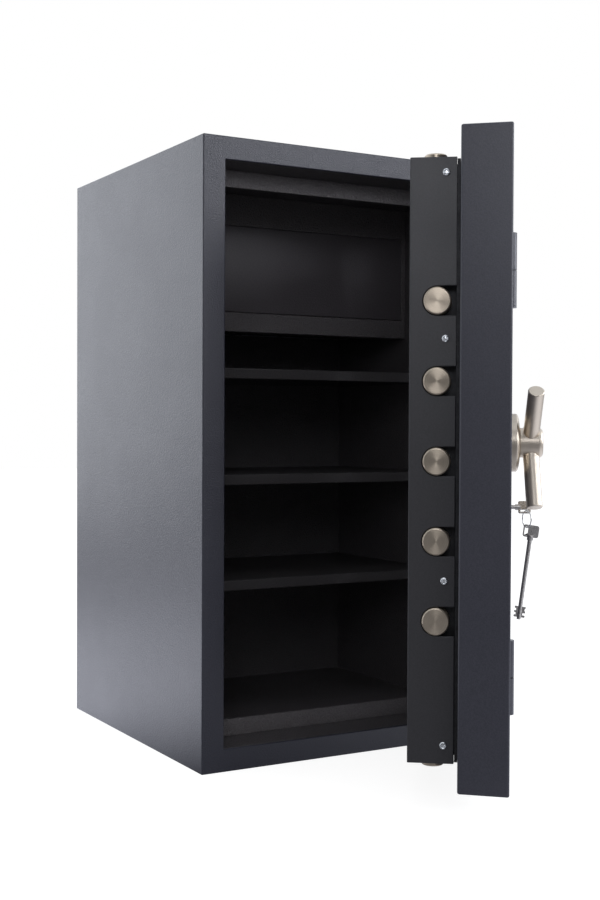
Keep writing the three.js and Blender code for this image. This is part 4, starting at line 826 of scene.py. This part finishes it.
def makeLamp(name, settings):
    light = bpy.data.lights.new(name, "AREA")
    light.shape = "RECTANGLE"
    light.size, light.size_y = settings["size"]
    light.energy = settings["power"]
    light.color = studio["lampTint"]
    lamp = bpy.data.objects.new(name, light)
    lamp.location = settings["place"]
    aim = Vector(settings["aim"]) - Vector(settings["place"])
    lamp.rotation_mode = "QUATERNION"
    lamp.rotation_quaternion = aim.to_track_quat("-Z", "Y")
    bpy.context.scene.collection.objects.link(lamp)


lamps = {
    "back soft box": {"place": (-0.7, 2.3, 1.25), "aim": (-0.4, 0.1, 0.6), "size": (2.0, 2.4),
                      "power": 18.0},
    "top soft box": {"place": (-0.3, -1.5, 2.7), "aim": (0.0, -0.1, 0.5), "size": (1.8, 1.4),
                     "power": 4.0},
    "left soft box": {"place": (-1.5, -2.6, 1.45), "aim": (0.0, -0.2, 0.4), "size": (1.0, 0.9),
                      "power": 8.6},
    "high front soft box": {"place": (1.3, -3.0, 1.75), "aim": (-0.1, -0.2, 0.8),
                            "size": (1.0, 0.8), "power": 14.5},
    "low front soft box": {"place": (0.5, -3.0, 1.0), "aim": (-0.1, -0.2, 0.6),
                           "size": (0.8, 0.7), "power": 4.8},
    "right soft box": {"place": (2.5, -1.4, 1.4), "aim": (0.2, -0.4, 0.4), "size": (1.2, 1.6),
                       "power": 32.0},
}
makeFloor()
makeWorld()
for lampName, settings in lamps.items():
    makeLamp(lampName, settings)

# Camera at the photograph's viewing angle
cameraLook = {"place": (-1.0725, -1.9111, 0.4928), "yaw": 29.958, "pitch": -1.074, "roll": 0.234,
              "focalPixels": 1313.85, "imageHeight": 900, "sensor": 36.0, "clip": (0.01, 100)}


def makeCamera():
    # Forward from yaw and pitch, right square to it and level, both then rolled about forward
    yaw, pitch, roll = (math.radians(cameraLook[key]) for key in ("yaw", "pitch", "roll"))
    forward = Vector((math.sin(yaw) * math.cos(pitch), math.cos(yaw) * math.cos(pitch),
                      math.sin(pitch)))
    level = forward.cross(Vector((0, 0, 1))).normalized()
    upright = level.cross(forward)
    right = math.cos(roll) * level + math.sin(roll) * upright
    up = -math.sin(roll) * level + math.cos(roll) * upright
    data = bpy.data.cameras.new("studio camera")
    data.sensor_fit = "AUTO"
    data.sensor_width = cameraLook["sensor"]
    data.lens = cameraLook["focalPixels"] / cameraLook["imageHeight"] * cameraLook["sensor"]
    data.clip_start, data.clip_end = cameraLook["clip"]
    camera = bpy.data.objects.new("studio camera", data)
    turn = Matrix((right, up, -forward)).transposed().to_4x4()
    camera.matrix_world = Matrix.Translation(cameraLook["place"]) @ turn
    bpy.context.scene.collection.objects.link(camera)
    bpy.context.scene.camera = camera


makeCamera()
bpy.context.scene.view_settings.view_transform = "Standard"
print("studio made")
